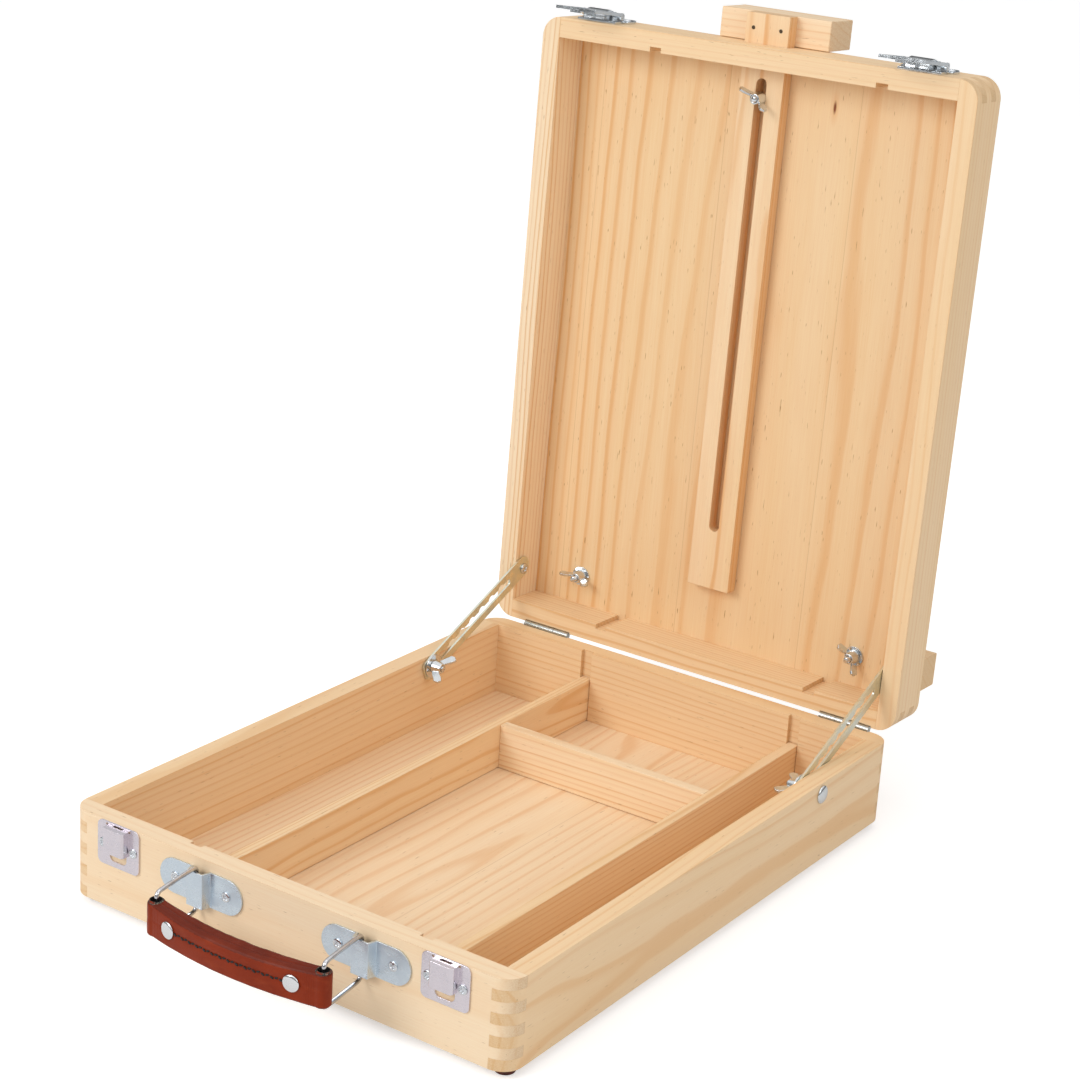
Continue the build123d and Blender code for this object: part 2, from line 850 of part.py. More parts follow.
crossbar_z = batten_z + batten_thickness
with BuildPart() as clamp_crossbar:
    with BuildSketch(opened(Plane.XY.offset(crossbar_z))):
        with Locations((0, crossbar_y)):
            Rectangle(crossbar_width, crossbar_height)
    extrude(amount=crossbar_depth)
    chamfer(clamp_crossbar.edges(), length=bar_chamfer)
finish(clamp_crossbar, "clamp_crossbar")

with BuildPart() as clamp_nails:
    with BuildSketch(opened(Plane.XY.offset(batten_z))):
        with Locations(*nail_points):
            RegularPolygon(nail_radius, head_sides)
    extrude(amount=-nail_head_height)
finish(clamp_nails, "clamp_nails")

# Strikes: a plate with a pressed hood, open underneath for the latch hook
strike_top = tray_height
strike_middle_z = tray_z + (strike_bottom + strike_top) / 2
hood_middle_z = tray_z + (hood_bottom + hood_top) / 2
hood_height = hood_top - hood_bottom


def strike(x, name):
    """A strike plate on the tray's front wall."""
    with BuildPart() as piece:
        with BuildSketch(front_plane(x, strike_middle_z)):
            RectangleRounded(strike_width, strike_top - strike_bottom, strike_corner)
        extrude(amount=strike_thickness)
        with BuildSketch(front_plane(x, hood_middle_z)):
            Rectangle(hood_width, hood_height)
        extrude(amount=hood_depth)
        hood_rim = piece.faces().sort_by(Axis.Y)[0].edges().filter_by(Axis.Z)
        chamfer(hood_rim, length=hood_edge)
        with BuildSketch(front_plane(x, hood_middle_z - hood_sheet)):
            Rectangle(hood_width - 2 * hood_sheet, hood_height)
        extrude(amount=hood_depth - hood_sheet, mode=Mode.SUBTRACT)
        # The cut-out under the hood lets the hook's tab in
        with BuildSketch(front_plane(x, tray_z + (cutout_bottom + hood_top) / 2)):
            RectangleRounded(cutout_width, hood_top - cutout_bottom - 2 * hood_sheet, cutout_corner)
        extrude(amount=strike_thickness, mode=Mode.SUBTRACT)
        with BuildSketch(Plane.XY.offset(tray_z + hood_top)):
            with Locations((x, front_y - hood_slot_out)):
                Rectangle(hood_slot_width, hood_slot_height)
        extrude(amount=-2 * hood_sheet, mode=Mode.SUBTRACT)
        # Small relief notches at the hood's upper corners
        with BuildSketch(front_plane(x, tray_z + hood_top)):
            with GridLocations(hood_width + relief_size, 0, 2, 1):
                Rectangle(relief_size, relief_size)
        extrude(amount=strike_thickness, mode=Mode.SUBTRACT)
    finish(piece, name)


strike(left_latch_x, "left_strike")
strike(right_latch_x, "right_strike")

# Latches on the lid's front wall, drawn with the lid closed
latch_pin_z = lid_z + latch_pin_above_rim


def latch_axis_plane(x, turn=0.0):
    """A plane square to the pin: local X out of the wood, local Y up, turned about the pin."""
    angle = radians(turn)
    return Plane(
        origin=(x, front_y - latch_pin_height, latch_pin_z),
        x_dir=(0, -cos(angle), -sin(angle)),
        z_dir=(-1, 0, 0),
    )


def latch_plate(x, name):
    """The base plate with two ears that hold the pin."""
    middle_z = lid_z + latch_plate_above_rim + latch_plate_height / 2
    with BuildPart() as piece:
        with BuildSketch(opened(front_plane(x, middle_z))):
            Rectangle(latch_plate_width, latch_plate_height)
            with Locations((0, latch_screw_z - middle_z)):
                RectangleRounded(latch_tab_width, latch_tab_height, latch_tab_corner)
        extrude(amount=latch_plate_thickness)
        for hand in (-1, 1):
            with BuildSketch(
                opened(latch_axis_plane(x + hand * (ear_inner + ear_thickness / 2)))
            ):
                RegularPolygon(ear_radius, rim_sides)
                with Locations((-latch_pin_height / 2, 0)):
                    Rectangle(latch_pin_height, 2 * ear_radius)
            extrude(amount=ear_thickness / 2, both=True)
        with BuildSketch(opened(latch_axis_plane(x))):
            Circle(latch_pin_radius)
        extrude(amount=strike_width, both=True, mode=Mode.SUBTRACT)
    finish(piece, name)


latch_plate(left_latch_x, "left_latch_plate")
latch_plate(right_latch_x, "right_latch_plate")

with BuildPart() as latch_pins:
    for centre in latch_centres:
        with BuildSketch(opened(latch_axis_plane(centre))):
            Circle(latch_pin_radius)
        extrude(amount=latch_pin_length / 2, both=True)
finish(latch_pins, "latch_pins")


def latch_lever(x, name):
    """A pressed thumb lever: a hollow channel round the pin with a turned-in lip."""
    with BuildPart() as piece:
        with BuildSketch(opened(latch_axis_plane(x))):
            with BuildLine():
                Polyline(
                    (0, lever_heel),
                    (lever_heel * 0.7, lever_heel * 0.7),
                    (lever_shoulder, -lever_shoulder_drop),
                    (lever_nose, -lever_nose_drop),
                    (-lever_back + lever_sheet / 2, -lever_lip_drop),
                    (-lever_back, 0),
                    (-lever_back * 0.7, lever_back * 0.7),
                    close=True,
                )
            make_face()
        extrude(amount=lever_half_width, both=True)
        # The lever is hollow and open at the back
        with BuildSketch(opened(latch_axis_plane(x))):
            with BuildLine():
                Polyline(
                    (-2 * lever_back, 2 * lever_heel),
                    (0.3, 2 * lever_heel),
                    (lever_sheet, 0),
                    (lever_shoulder - lever_sheet, -lever_shoulder_drop),
                    (lever_nose - lever_sheet, -lever_nose_drop + lever_sheet),
                    (-2 * lever_back, -lever_lip_drop + 1.2 * lever_sheet),
                    close=True,
                )
            make_face()
        extrude(amount=lever_half_width - lever_sheet, both=True, mode=Mode.SUBTRACT)
        with BuildSketch(opened(latch_axis_plane(x))):
            Circle(latch_pin_radius + running_clearance)
        extrude(amount=lever_half_width, both=True, mode=Mode.SUBTRACT)
        # A small round notch in the middle of the lip
        with BuildSketch(opened(front_plane(x, latch_pin_z - lever_lip_drop, latch_pin_height))):
            Circle(lever_notch_radius)
        extrude(amount=latch_pin_height, both=True, mode=Mode.SUBTRACT)
    finish(piece, name)


def latch_hook(x, name):
    """A pressed hook: two flanged arms from the pin to a bar with an inward tab."""
    place = latch_axis_plane(x, -hook_rest_angle)
    out = Vector(place.x_dir)
    origin = Vector(place.origin)

    def face_plane(height):
        """A plane parallel to the hook's face, at a height above the pin line."""
        return opened(Plane(origin=origin + out * height, x_dir=(1, 0, 0), z_dir=out))

    window_half = hook_half_width - hook_arm_width
    face_top = hook_face_height + hook_sheet
    flange_bottom = face_top - hook_flange
    with BuildPart() as piece:
        with BuildSketch(face_plane(flange_bottom)):
            with Locations((0, -hook_reach / 2)):
                Rectangle(2 * hook_half_width, hook_reach)
        extrude(amount=hook_flange)
        # The hollow behind the face leaves the turned-in outer flanges
        with BuildSketch(face_plane(flange_bottom)):
            with Locations((0, (4.0 - hook_reach + hook_sheet) / 2)):
                Rectangle(
                    2 * (hook_half_width - hook_sheet), hook_reach + 4.0 - hook_sheet
                )
        extrude(amount=hook_flange - hook_sheet, mode=Mode.SUBTRACT)
        # The window leaves two arms and the bar
        with BuildSketch(face_plane(face_top)):
            with Locations((0, (6.0 - hook_reach + hook_bar_height) / 2)):
                Rectangle(2 * window_half, hook_reach + 6.0 - hook_bar_height)
        extrude(amount=-hook_flange, mode=Mode.SUBTRACT)
        # The tab turns in at the bar's lower edge
        with BuildSketch(face_plane(hook_face_height)):
            with Locations((0, -hook_reach + hook_sheet / 2)):
                Rectangle(hook_tab_width, hook_sheet)
        extrude(amount=-hook_tab_depth)
        # A round eye at the end of each flange turns on the pin
        for hand in (-1, 1):
            eye = latch_axis_plane(
                x + hand * (hook_half_width - hook_sheet / 2), -hook_rest_angle
            )
            with BuildSketch(opened(eye)):
                RegularPolygon(hook_eye_radius, rim_sides)
            extrude(amount=hook_sheet / 2, both=True)
        with BuildSketch(opened(place)):
            Circle(latch_pin_radius + running_clearance)
        extrude(amount=hook_half_width + 1.0, both=True, mode=Mode.SUBTRACT)
    finish(piece, name)


for centre, hand in ((left_latch_x, "left"), (right_latch_x, "right")):
    latch_lever(centre, f"{hand}_latch_lever")
    latch_hook(centre, f"{hand}_latch_hook")

# Handle brackets: an oblong plate with an upright channel for the wire
bracket_middle_z = tray_z + bracket_z
loop_middle_z = tray_z + loop_z
strap_middle_z = tray_z + strap_z


def handle_bracket(x, name):
    """A pressed bracket with a channel that the loop's leg turns in."""
    inner_base = channel_half_width - 1.3 * bracket_sheet
    inner_front = channel_front_half_width - bracket_sheet
    with BuildPart() as piece:
        with BuildSketch(front_plane(x, bracket_middle_z)):
            SlotOverall(bracket_length, bracket_height)
        extrude(amount=bracket_sheet)
        with BuildSketch(Plane.XY.offset(bracket_middle_z)):
            with BuildLine():
                Polyline(
                    (x - channel_half_width, front_y),
                    (x - channel_front_half_width, front_y - channel_depth),
                    (x + channel_front_half_width, front_y - channel_depth),
                    (x + channel_half_width, front_y),
                    close=True,
                )
            make_face()
        extrude(amount=bracket_height / 2, both=True)
        with BuildSketch(Plane.XY.offset(bracket_middle_z)):
            with BuildLine():
                Polyline(
                    (x - inner_base, front_y),
                    (x - inner_front, front_y - channel_depth + bracket_sheet),
                    (x + inner_front, front_y - channel_depth + bracket_sheet),
                    (x + inner_base, front_y),
                    close=True,
                )
            make_face()
        extrude(amount=bracket_height, both=True, mode=Mode.SUBTRACT)
    finish(piece, name)


handle_bracket(bracket_centres[0], "left_handle_bracket")
handle_bracket(bracket_centres[1], "right_handle_bracket")


def handle_loop(x, name):
    """A wire loop that turns in its bracket and carries one end of the handle."""
    plane = Plane(
        origin=(x, front_y - loop_axis_height, loop_middle_z),
        x_dir=(sin(swing), -cos(swing), 0),
        z_dir=(-cos(swing), -sin(swing), 0),
    )
    corners = (
        (loop_reach - wire_bend, loop_height / 2 - wire_bend, wire_turn),
        (loop_reach - wire_bend, wire_bend - loop_height / 2, 0),
        (wire_bend, wire_bend - loop_height / 2, -wire_turn),
        (wire_bend, loop_height / 2 - wire_bend, -2 * wire_turn),
    )
    path_points = [plane.from_local_coords((loop_reach / 2, loop_height / 2, 0))]
    for across, along, start in corners:
        for step in range(bend_steps + 1):
            angle = radians(start - step * wire_turn / bend_steps)
            path_points.append(
                plane.from_local_coords(
                    (across + wire_bend * cos(angle), along + wire_bend * sin(angle), 0)
                )
            )
    with BuildPart() as piece:
        with BuildLine() as path:
            Polyline(*path_points, close=True)
        with BuildSketch(
            Plane(origin=path_points[0], x_dir=plane.z_dir, z_dir=plane.x_dir)
        ):
            RegularPolygon(wire_radius, wire_sides)
        sweep(path=path.wire(), transition=Transition.RIGHT)
    finish(piece, name)


handle_loop(loop_centres[0], "left_handle_loop")
handle_loop(loop_centres[1], "right_handle_loop")

# Leather handle: a bowed strap folded round the loops' outer legs
strap_x = (loop_centres[0] + loop_centres[1]) / 2 + loop_reach * sin(swing)
strap_y = front_y - strap_out
half_strap = loop_spacing / 2
bow_radius = (half_strap ** 2 + strap_bow ** 2) / (2 * strap_bow)
rivet_turn = asin((half_strap - rivet_inset) / bow_radius)


def rivet_plane(side, height):
    """A plane on one rivet's axis, facing out of the bow, at a height above its middle."""
    out = Vector(side * sin(rivet_turn), -cos(rivet_turn), 0)
    bow_centre = Vector(strap_x, strap_y - strap_bow + bow_radius, strap_middle_z)
    return Plane(origin=bow_centre + out * (bow_radius + height), x_dir=(0, 0, 1), z_dir=out)


with BuildPart() as handle_strap:
    with BuildSketch(Plane.XY.offset(strap_middle_z - strap_height / 2)):
        with BuildLine() as bow:
            ThreePointArc(
                (strap_x - half_strap, strap_y),
                (strap_x, strap_y - strap_bow),
                (strap_x + half_strap, strap_y),
            )
        trace(bow.line, line_width=strap_thickness)
        with Locations((strap_x - half_strap, strap_y), (strap_x + half_strap, strap_y)):
            RegularPolygon(strap_end_radius, rim_sides)
            Circle(strap_bore, mode=Mode.SUBTRACT)
    extrude(amount=strap_height)
    chamfer(
        handle_strap.faces().sort_by(Axis.Z)[-1].outer_wire().edges()
        + handle_strap.faces().sort_by(Axis.Z)[0].outer_wire().edges(),
        length=strap_edge,
    )
    for side in (-1, 1):
        with BuildSketch(rivet_plane(side, 0)):
            RegularPolygon(rivet_shank_radius, head_sides)
        extrude(amount=strap_thickness, both=True, mode=Mode.SUBTRACT)
finish(handle_strap, "handle_strap")

# Two rivets through the strap, domed in front and flat behind
strap_face = strap_thickness / 2 + rivet_seat
with BuildPart() as strap_rivets:
    for side in (-1, 1):
        with BuildSketch(rivet_plane(side, 0)):
            RegularPolygon(rivet_shank_radius, head_sides)
        extrude(amount=strap_face, both=True)
        crown_on(rivet_plane(side, strap_face), rivet_radius, rivet_crown, rivet_height)
        with BuildSketch(rivet_plane(side, -strap_face)):
            RegularPolygon(rivet_back_radius, head_sides)
        extrude(amount=-rivet_back_height)
finish(strap_rivets, "strap_rivets")
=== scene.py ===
import bpy
import bmesh
import json
from math import atan2, cos, pi, radians, sin, sqrt
from mathutils import Matrix, Vector, noise


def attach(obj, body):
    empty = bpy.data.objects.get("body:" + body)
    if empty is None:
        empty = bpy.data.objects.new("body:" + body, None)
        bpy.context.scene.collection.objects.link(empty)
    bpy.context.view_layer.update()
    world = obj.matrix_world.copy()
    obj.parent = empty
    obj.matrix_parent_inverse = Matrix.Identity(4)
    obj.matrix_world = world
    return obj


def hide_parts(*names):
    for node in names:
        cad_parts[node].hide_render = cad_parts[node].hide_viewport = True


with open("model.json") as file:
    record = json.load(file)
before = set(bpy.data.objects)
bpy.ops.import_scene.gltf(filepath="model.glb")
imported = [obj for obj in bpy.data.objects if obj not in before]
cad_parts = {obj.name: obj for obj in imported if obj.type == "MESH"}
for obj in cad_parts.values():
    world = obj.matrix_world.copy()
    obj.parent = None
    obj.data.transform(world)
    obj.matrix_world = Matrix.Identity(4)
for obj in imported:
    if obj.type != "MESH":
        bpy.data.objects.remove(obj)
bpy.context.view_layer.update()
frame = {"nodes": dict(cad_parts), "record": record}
nodes = frame["nodes"]
scene = bpy.context.scene

MM = 0.001

# ---------------------------------------------------------------- node helpers


def material(name):
    """A new node material, its tree and its shader."""
    mat = bpy.data.materials.new(name)
    mat.use_nodes = True
    tree = mat.node_tree
    return mat, tree, tree.nodes["Principled BSDF"]


def put(tree, kind, **values):
    """Add a node. in_0, in_1 and so on go to its input sockets, as a link or a value, and
    every other name sets a property."""
    node = tree.nodes.new(kind)
    for key, value in values.items():
        if key.startswith("in_"):
            socket = node.inputs[int(key[3:])]
            if isinstance(value, bpy.types.NodeSocket):
                tree.links.new(value, socket)
            else:
                socket.default_value = value
        else:
            setattr(node, key, value)
    return node


def calc(tree, operation, a, b=0.0, c=0.0, clamp=False):
    """One step of arithmetic in the node tree."""
    return put(tree, "ShaderNodeMath", operation=operation, use_clamp=clamp,
               in_0=a, in_1=b, in_2=c).outputs[0]


def vector_calc(tree, operation, a, b=(0, 0, 0), output=0):
    """One step of arithmetic with vectors."""
    return put(tree, "ShaderNodeVectorMath", operation=operation, in_0=a, in_1=b).outputs[output]


def mix(tree, factor, a, b):
    """Mix two colours."""
    node = tree.nodes.new("ShaderNodeMix")
    node.data_type = "RGBA"
    for socket, value in ((node.inputs[0], factor), (node.inputs[6], a), (node.inputs[7], b)):
        if isinstance(value, bpy.types.NodeSocket):
            tree.links.new(value, socket)
        elif socket.type == "RGBA" and len(value) == 3:
            socket.default_value = (*value, 1.0)
        else:
            socket.default_value = value
    return node.outputs[2]


def remap(tree, value, low, high, to_low=0.0, to_high=1.0):
    """Carry a range of values over to another range, clamped."""
    return put(tree, "ShaderNodeMapRange", in_0=value, in_1=low, in_2=high,
               in_3=to_low, in_4=to_high).outputs[0]


def grey_ramp(tree, value, stops, interpolation="LINEAR"):
    """A ramp of greys, given as places and levels in rising order."""
    node = put(tree, "ShaderNodeValToRGB", in_0=value)
    ramp = node.color_ramp
    ramp.interpolation = interpolation
    for element, (place, level) in zip(ramp.elements, (stops[0], stops[-1])):
        element.position = place
        element.color = (level, level, level, 1)
    for place, level in stops[1:-1]:
        ramp.elements.new(place).color = (level, level, level, 1)
    return node.outputs[0]


def object_coords(tree):
    return tree.nodes.new("ShaderNodeTexCoord").outputs["Object"]


def mapped(tree, vector, location=(0, 0, 0), rotation=(0, 0, 0), scale=(1, 1, 1)):
    """Coordinates that are scaled, then turned, then moved."""
    return put(tree, "ShaderNodeMapping", in_0=vector, in_1=location, in_2=rotation,
               in_3=scale).outputs[0]


def noise_at(tree, vector, scale, detail, rough=0.5, distortion=0.0):
    node = put(tree, "ShaderNodeTexNoise", in_0=vector)
    node.inputs["Scale"].default_value = scale
    node.inputs["Detail"].default_value = detail
    node.inputs["Roughness"].default_value = rough
    node.inputs["Distortion"].default_value = distortion
    return node.outputs["Fac"]


def bump(tree, height, strength, distance):
    """A normal from a height, which only makes the finest relief."""
    node = put(tree, "ShaderNodeBump", in_0=strength, in_1=distance)
    tree.links.new(height, node.inputs["Height"])
    return node.outputs[0]


def edge_mask(tree, radius, low=0.02, high=0.3):
    """How close a point is to an outside or inside edge."""
    soft = put(tree, "ShaderNodeBevel", samples=4)
    soft.inputs["Radius"].default_value = radius
    flat = tree.nodes.new("ShaderNodeNewGeometry")
    dot = vector_calc(tree, "DOT_PRODUCT", soft.outputs[0], flat.outputs["Normal"], "Value")
    away = calc(tree, "SUBTRACT", 1.0, dot)
    return remap(tree, away, low, high)


def finish(tree, shader, colour, rough, normal):
    """Link what every material has to its shader."""
    for name, value in (("Base Color", colour), ("Roughness", rough), ("Normal", normal)):
        tree.links.new(value, shader.inputs[name])


def srgb(r, g, b):
    """A colour given in picture values from 0 to 255."""
    def linear(v):
        v = v / 255
        return v / 12.92 if v <= 0.04045 else ((v + 0.055) / 1.055) ** 2.4
    return linear(r), linear(g), linear(b)


def shade(colour, factor):
    """A colour made darker or lighter, up to white."""
    return tuple(min(1.0, v * factor) for v in colour)


# ---------------------------------------------------------------- wood

LID_TILT = radians(92.3)
ALONG_X = Vector((1, 0, 0))
ALONG_Y = Vector((0, 1, 0))
ALONG_Z = Vector((0, 0, 1))
LID_UP = Vector((0, -cos(LID_TILT), sin(LID_TILT)))
LID_OUT = Vector((0, sin(LID_TILT), cos(LID_TILT)))

SEED_STEP = 0.37        # how far apart two boards lie in the noise, per unit of seed
WANDER = 0.012          # how far the rings wander along a board, in metres
SWIRL = 0.0016          # and their small waves
WOOD_ROUGH = 0.46
SEAM_WIDTH = 0.00035
KNOT_FLATNESS = 0.27    # a knot is longer along the grain than across it
KNOT_HEART = srgb(132, 70, 34)
# the colour of the painted shade on the sides of a board
SIDE_SHADE_TONE = srgb(214, 148, 70)
# the tone through one year: slow pale early wood, then a narrow band of late wood
RING_TONES = ((0.0, 0.16), (0.30, 0.0), (0.62, 0.18), (0.84, 1.0), (0.92, 0.9), (1.0, 0.16))


def glued_strips(tree, turned, seed, width, start):
    """Give each glued strip its own piece of the tree. Returns the coordinates to use, the
    tone of each strip, and a thin line where two strips meet."""
    split = put(tree, "ShaderNodeSeparateXYZ", in_0=turned)
    across = calc(tree, "DIVIDE", calc(tree, "SUBTRACT", split.outputs[1], start), width)
    own = put(tree, "ShaderNodeTexWhiteNoise", noise_dimensions="1D",
              in_1=calc(tree, "ADD", calc(tree, "FLOOR", across), seed))
    throw = vector_calc(tree, "SUBTRACT", own.outputs["Color"], (0.5, 0.5, 0.5))
    throw = mapped(tree, throw, scale=(1.7, 0.075, 0.03))
    straight = vector_calc(tree, "ADD", turned, throw)
    from_seam = calc(tree, "FRACT", calc(tree, "ADD", across, 0.5))
    from_seam = calc(tree, "ABSOLUTE", calc(tree, "SUBTRACT", from_seam, 0.5))
    seam = remap(tree, from_seam, 0.0, SEAM_WIDTH / width, 0.35, 0.0)
    return straight, own.outputs["Value"], seam


def pine(name, grain, wide, pith, seed, pale, warm, late, year, contrast, wobble=2.2,
         fleck=0.5, streak=0.4, end_dark=0.5, side_shade=0.0, boards=None, knot=None):
    """Sanded pine: yearly rings about a far pith line, fine fibres, flecks, darker end grain,
    edges darkened by wear outside and by painted shade at inside edges and corners, and
    painted shade on the sides that look across the board where asked. grain is the way the
    fibres run and wide the way across the board.
    pith is where the heart of the tree would be, across the board and behind it, in metres,
    and year is the width of one ring in mm. pale, warm and late are the colours of early wood,
    of warmer streaks and of late wood. boards gives the width and start of the strips that a
    panel is glued from, and knot the place of its knot."""
    mat, tree, shader = material(name)
    basis = Matrix((grain, wide, grain.cross(wide)))
    turned = mapped(tree, object_coords(tree), rotation=basis.to_euler())
    straight = turned
    if boards is not None:
        straight, tone, seam = glued_strips(tree, turned, seed, *boards)
    placed = mapped(tree, straight, location=(seed * SEED_STEP, -pith[0], -pith[1]))

    def fibrous(stretch, scale, detail=2.0, rough=0.5):
        """Noise that is drawn out along the fibres."""
        return noise_at(tree, mapped(tree, placed, scale=(stretch, 1, 1)), scale, detail, rough)

    def facing(way):
        """How squarely the surface looks along a direction."""
        normal = tree.nodes.new("ShaderNodeTexCoord").outputs["Normal"]
        return calc(tree, "ABSOLUTE",
                    vector_calc(tree, "DOT_PRODUCT", normal, tuple(way), "Value"))

    radius = vector_calc(tree, "LENGTH", mapped(tree, placed, scale=(0, 1, 1)), output="Value")
    if knot is not None:
        # the fibres swing round the knot
        off = vector_calc(tree, "SUBTRACT", turned, tuple(basis @ Vector(knot)))
        off = mapped(tree, off, scale=(KNOT_FLATNESS, 1, 0))
        near = vector_calc(tree, "LENGTH", off, output="Value")
        radius = calc(tree, "ADD", radius, remap(tree, near, 0.0, 0.008, 0.0022, 0.0))
    wander = calc(tree, "SUBTRACT", fibrous(0.16, 11.0), 0.5)
    swirl = calc(tree, "SUBTRACT", fibrous(0.22, 60.0, rough=0.55), 0.5)
    shift = calc(tree, "MULTIPLY_ADD", swirl, SWIRL,
                 calc(tree, "MULTIPLY", wander, wobble * WANDER))
    turns = calc(tree, "DIVIDE", calc(tree, "ADD", radius, shift), year * MM)
    # each ring has its own strength
    own = put(tree, "ShaderNodeTexWhiteNoise", noise_dimensions="1D",
              in_1=calc(tree, "FLOOR", turns)).outputs["Value"]
    profile = grey_ramp(tree, calc(tree, "FRACT", turns), RING_TONES, "EASE")
    band = calc(tree, "MULTIPLY", profile, remap(tree, own, 0.0, 1.0, 0.30, 1.0))
    # wide soft streaks of warmer wood
    streaks = calc(tree, "MULTIPLY", remap(tree, fibrous(0.05, 55.0, 3.0, 0.6), 0.42, 0.72),
                   streak)
    colour = mix(tree, streaks, pale, warm)
    colour = mix(tree, calc(tree, "MULTIPLY", band, contrast, clamp=True), colour, late)
    colour = mix(tree, remap(tree, fibrous(0.3, 9.0), 0.3, 0.7, 0.0, 0.22), colour, warm)
    if boards is not None:
        colour = mix(tree, remap(tree, tone, 0.0, 1.0, 0.0, 0.35), colour, warm)
    # fibres and the short dark flecks of resin
    fibre = fibrous(0.02, 1300.0, rough=0.6)
    colour = mix(tree, remap(tree, fibre, 0.3, 0.7, 0.16, 0.0), colour, late)
    dash = fibrous(0.11, 1250.0, 1.0)
    colour = mix(tree, remap(tree, dash, 0.72, 0.80, 0.0, fleck), colour, shade(late, 0.52))
    if knot is not None:
        colour = mix(tree, remap(tree, near, 0.0010, 0.0034, 0.35, 0.0), colour, late)
        colour = mix(tree, remap(tree, near, 0.0005, 0.0013, 1.0, 0.0), colour, KNOT_HEART)
    if boards is not None:
        colour = mix(tree, seam, colour, shade(late, 0.55))
    # end grain shows where the surface looks along the fibres
    pores = noise_at(tree, straight, 1700.0, 2.0, 0.6)
    speckled = mix(tree, remap(tree, pores, 0.35, 0.65), shade(warm, 0.80), shade(late, 0.72))
    colour = mix(tree, remap(tree, facing(grain), 0.30, 0.95, 0.0, end_dark), colour, speckled)
    if side_shade:
        # painted shade: faces that look across the board, its sides and the walls of a slot, are
        # darkened
        colour = mix(tree, remap(tree, facing(wide), 0.5, 0.95, 0.0, side_shade), colour,
                     SIDE_SHADE_TONE)
    # darker near edges: wear on outside edges, painted shade at inside edges and corners
    near_edge = edge_mask(tree, 0.0008)
    colour = mix(tree, calc(tree, "MULTIPLY", near_edge, 0.28), colour, shade(late, 0.82))
    rub = calc(tree, "ADD",
               remap(tree, fibre, 0.2, 0.8, WOOD_ROUGH - 0.05, WOOD_ROUGH + 0.07),
               remap(tree, band, 0.0, 1.0, 0.04, -0.06))
    shader.inputs["Specular IOR Level"].default_value = 0.30
    height = calc(tree, "ADD", calc(tree, "MULTIPLY", fibre, 0.5),
                  calc(tree, "MULTIPLY", band, 0.55))
    finish(tree, shader, colour, rub, bump(tree, height, 0.30, 0.00010))
    return mat


# ---------------------------------------------------------------- metal, leather, plastic


def plated(name, colour, tint, rough, stain=0.35, brush=ALONG_X):
    """Plated sheet steel with a faint brushed line, cloudy tint, small scratches, worn edges.
    stain is how far the tint shows, and brush the way that the sheet was rolled."""
    mat, tree, shader = material(name)
    coords = object_coords(tree)
    turn = brush.rotation_difference(ALONG_X).to_euler()
    lined = mapped(tree, coords, rotation=turn, scale=(0.04, 1, 1))
    lines = noise_at(tree, lined, 5200.0, 2.0, 0.6)
    cloud = noise_at(tree, coords, 120.0, 3.0, 0.55)
    speck = noise_at(tree, coords, 2600.0, 2.0, 0.6)
    base = mix(tree, remap(tree, cloud, 0.35, 0.7, 0.0, stain), colour, tint)
    base = mix(tree, remap(tree, speck, 0.62, 0.8, 0.0, 0.12), base, shade(tint, 0.45))
    near_edge = edge_mask(tree, 0.0004, 0.03, 0.4)
    base = mix(tree, calc(tree, "MULTIPLY", near_edge, 0.35), base, shade(colour, 1.25))
    shader.inputs["Metallic"].default_value = 1.0
    rub = calc(tree, "ADD", remap(tree, lines, 0.25, 0.75, rough - 0.06, rough + 0.08),
               remap(tree, cloud, 0.3, 0.7, -0.04, 0.08))
    height = calc(tree, "ADD", calc(tree, "MULTIPLY", lines, 0.4),
                  calc(tree, "MULTIPLY", speck, 0.6))
    finish(tree, shader, base, rub, bump(tree, height, 0.10, 0.00008))
    return mat


def leather(name, colour, dark, pale, rough):
    """Smooth oiled leather: fine pebble, creases, uneven dye, and edges darkened by wear outside
    and by painted shade at inside edges.
    """
    mat, tree, shader = material(name)
    coords = object_coords(tree)
    pebble = put(tree, "ShaderNodeTexVoronoi", feature="DISTANCE_TO_EDGE")
    tree.links.new(mapped(tree, coords, scale=(1, 1, 0.8)), pebble.inputs[0])
    pebble.inputs["Scale"].default_value = 1500.0
    cell = remap(tree, pebble.outputs["Distance"], 0.0, 0.25)
    crease = noise_at(tree, mapped(tree, coords, scale=(0.35, 1, 1)), 160.0, 4.0, 0.6, 0.4)
    cloud = noise_at(tree, coords, 55.0, 3.0, 0.55)
    base = mix(tree, remap(tree, cloud, 0.3, 0.7, 0.0, 0.6), colour, dark)
    base = mix(tree, remap(tree, crease, 0.56, 0.72, 0.0, 0.35), base, pale)
    base = mix(tree, remap(tree, cell, 0.0, 0.5, 0.22, 0.0), base, dark)
    # darker near edges: wear on outside edges, painted shade at inside edges and furrows
    near_edge = edge_mask(tree, 0.0009, 0.02, 0.35)
    base = mix(tree, calc(tree, "MULTIPLY", near_edge, 0.45), base, dark)
    shader.inputs["Specular IOR Level"].default_value = 0.16
    height = calc(tree, "ADD", calc(tree, "MULTIPLY", cell, 0.35),
                  calc(tree, "MULTIPLY", crease, 0.9))
    finish(tree, shader, base, remap(tree, cloud, 0.3, 0.7, rough - 0.05, rough + 0.07),
           bump(tree, height, 0.30, 0.00025))
    return mat


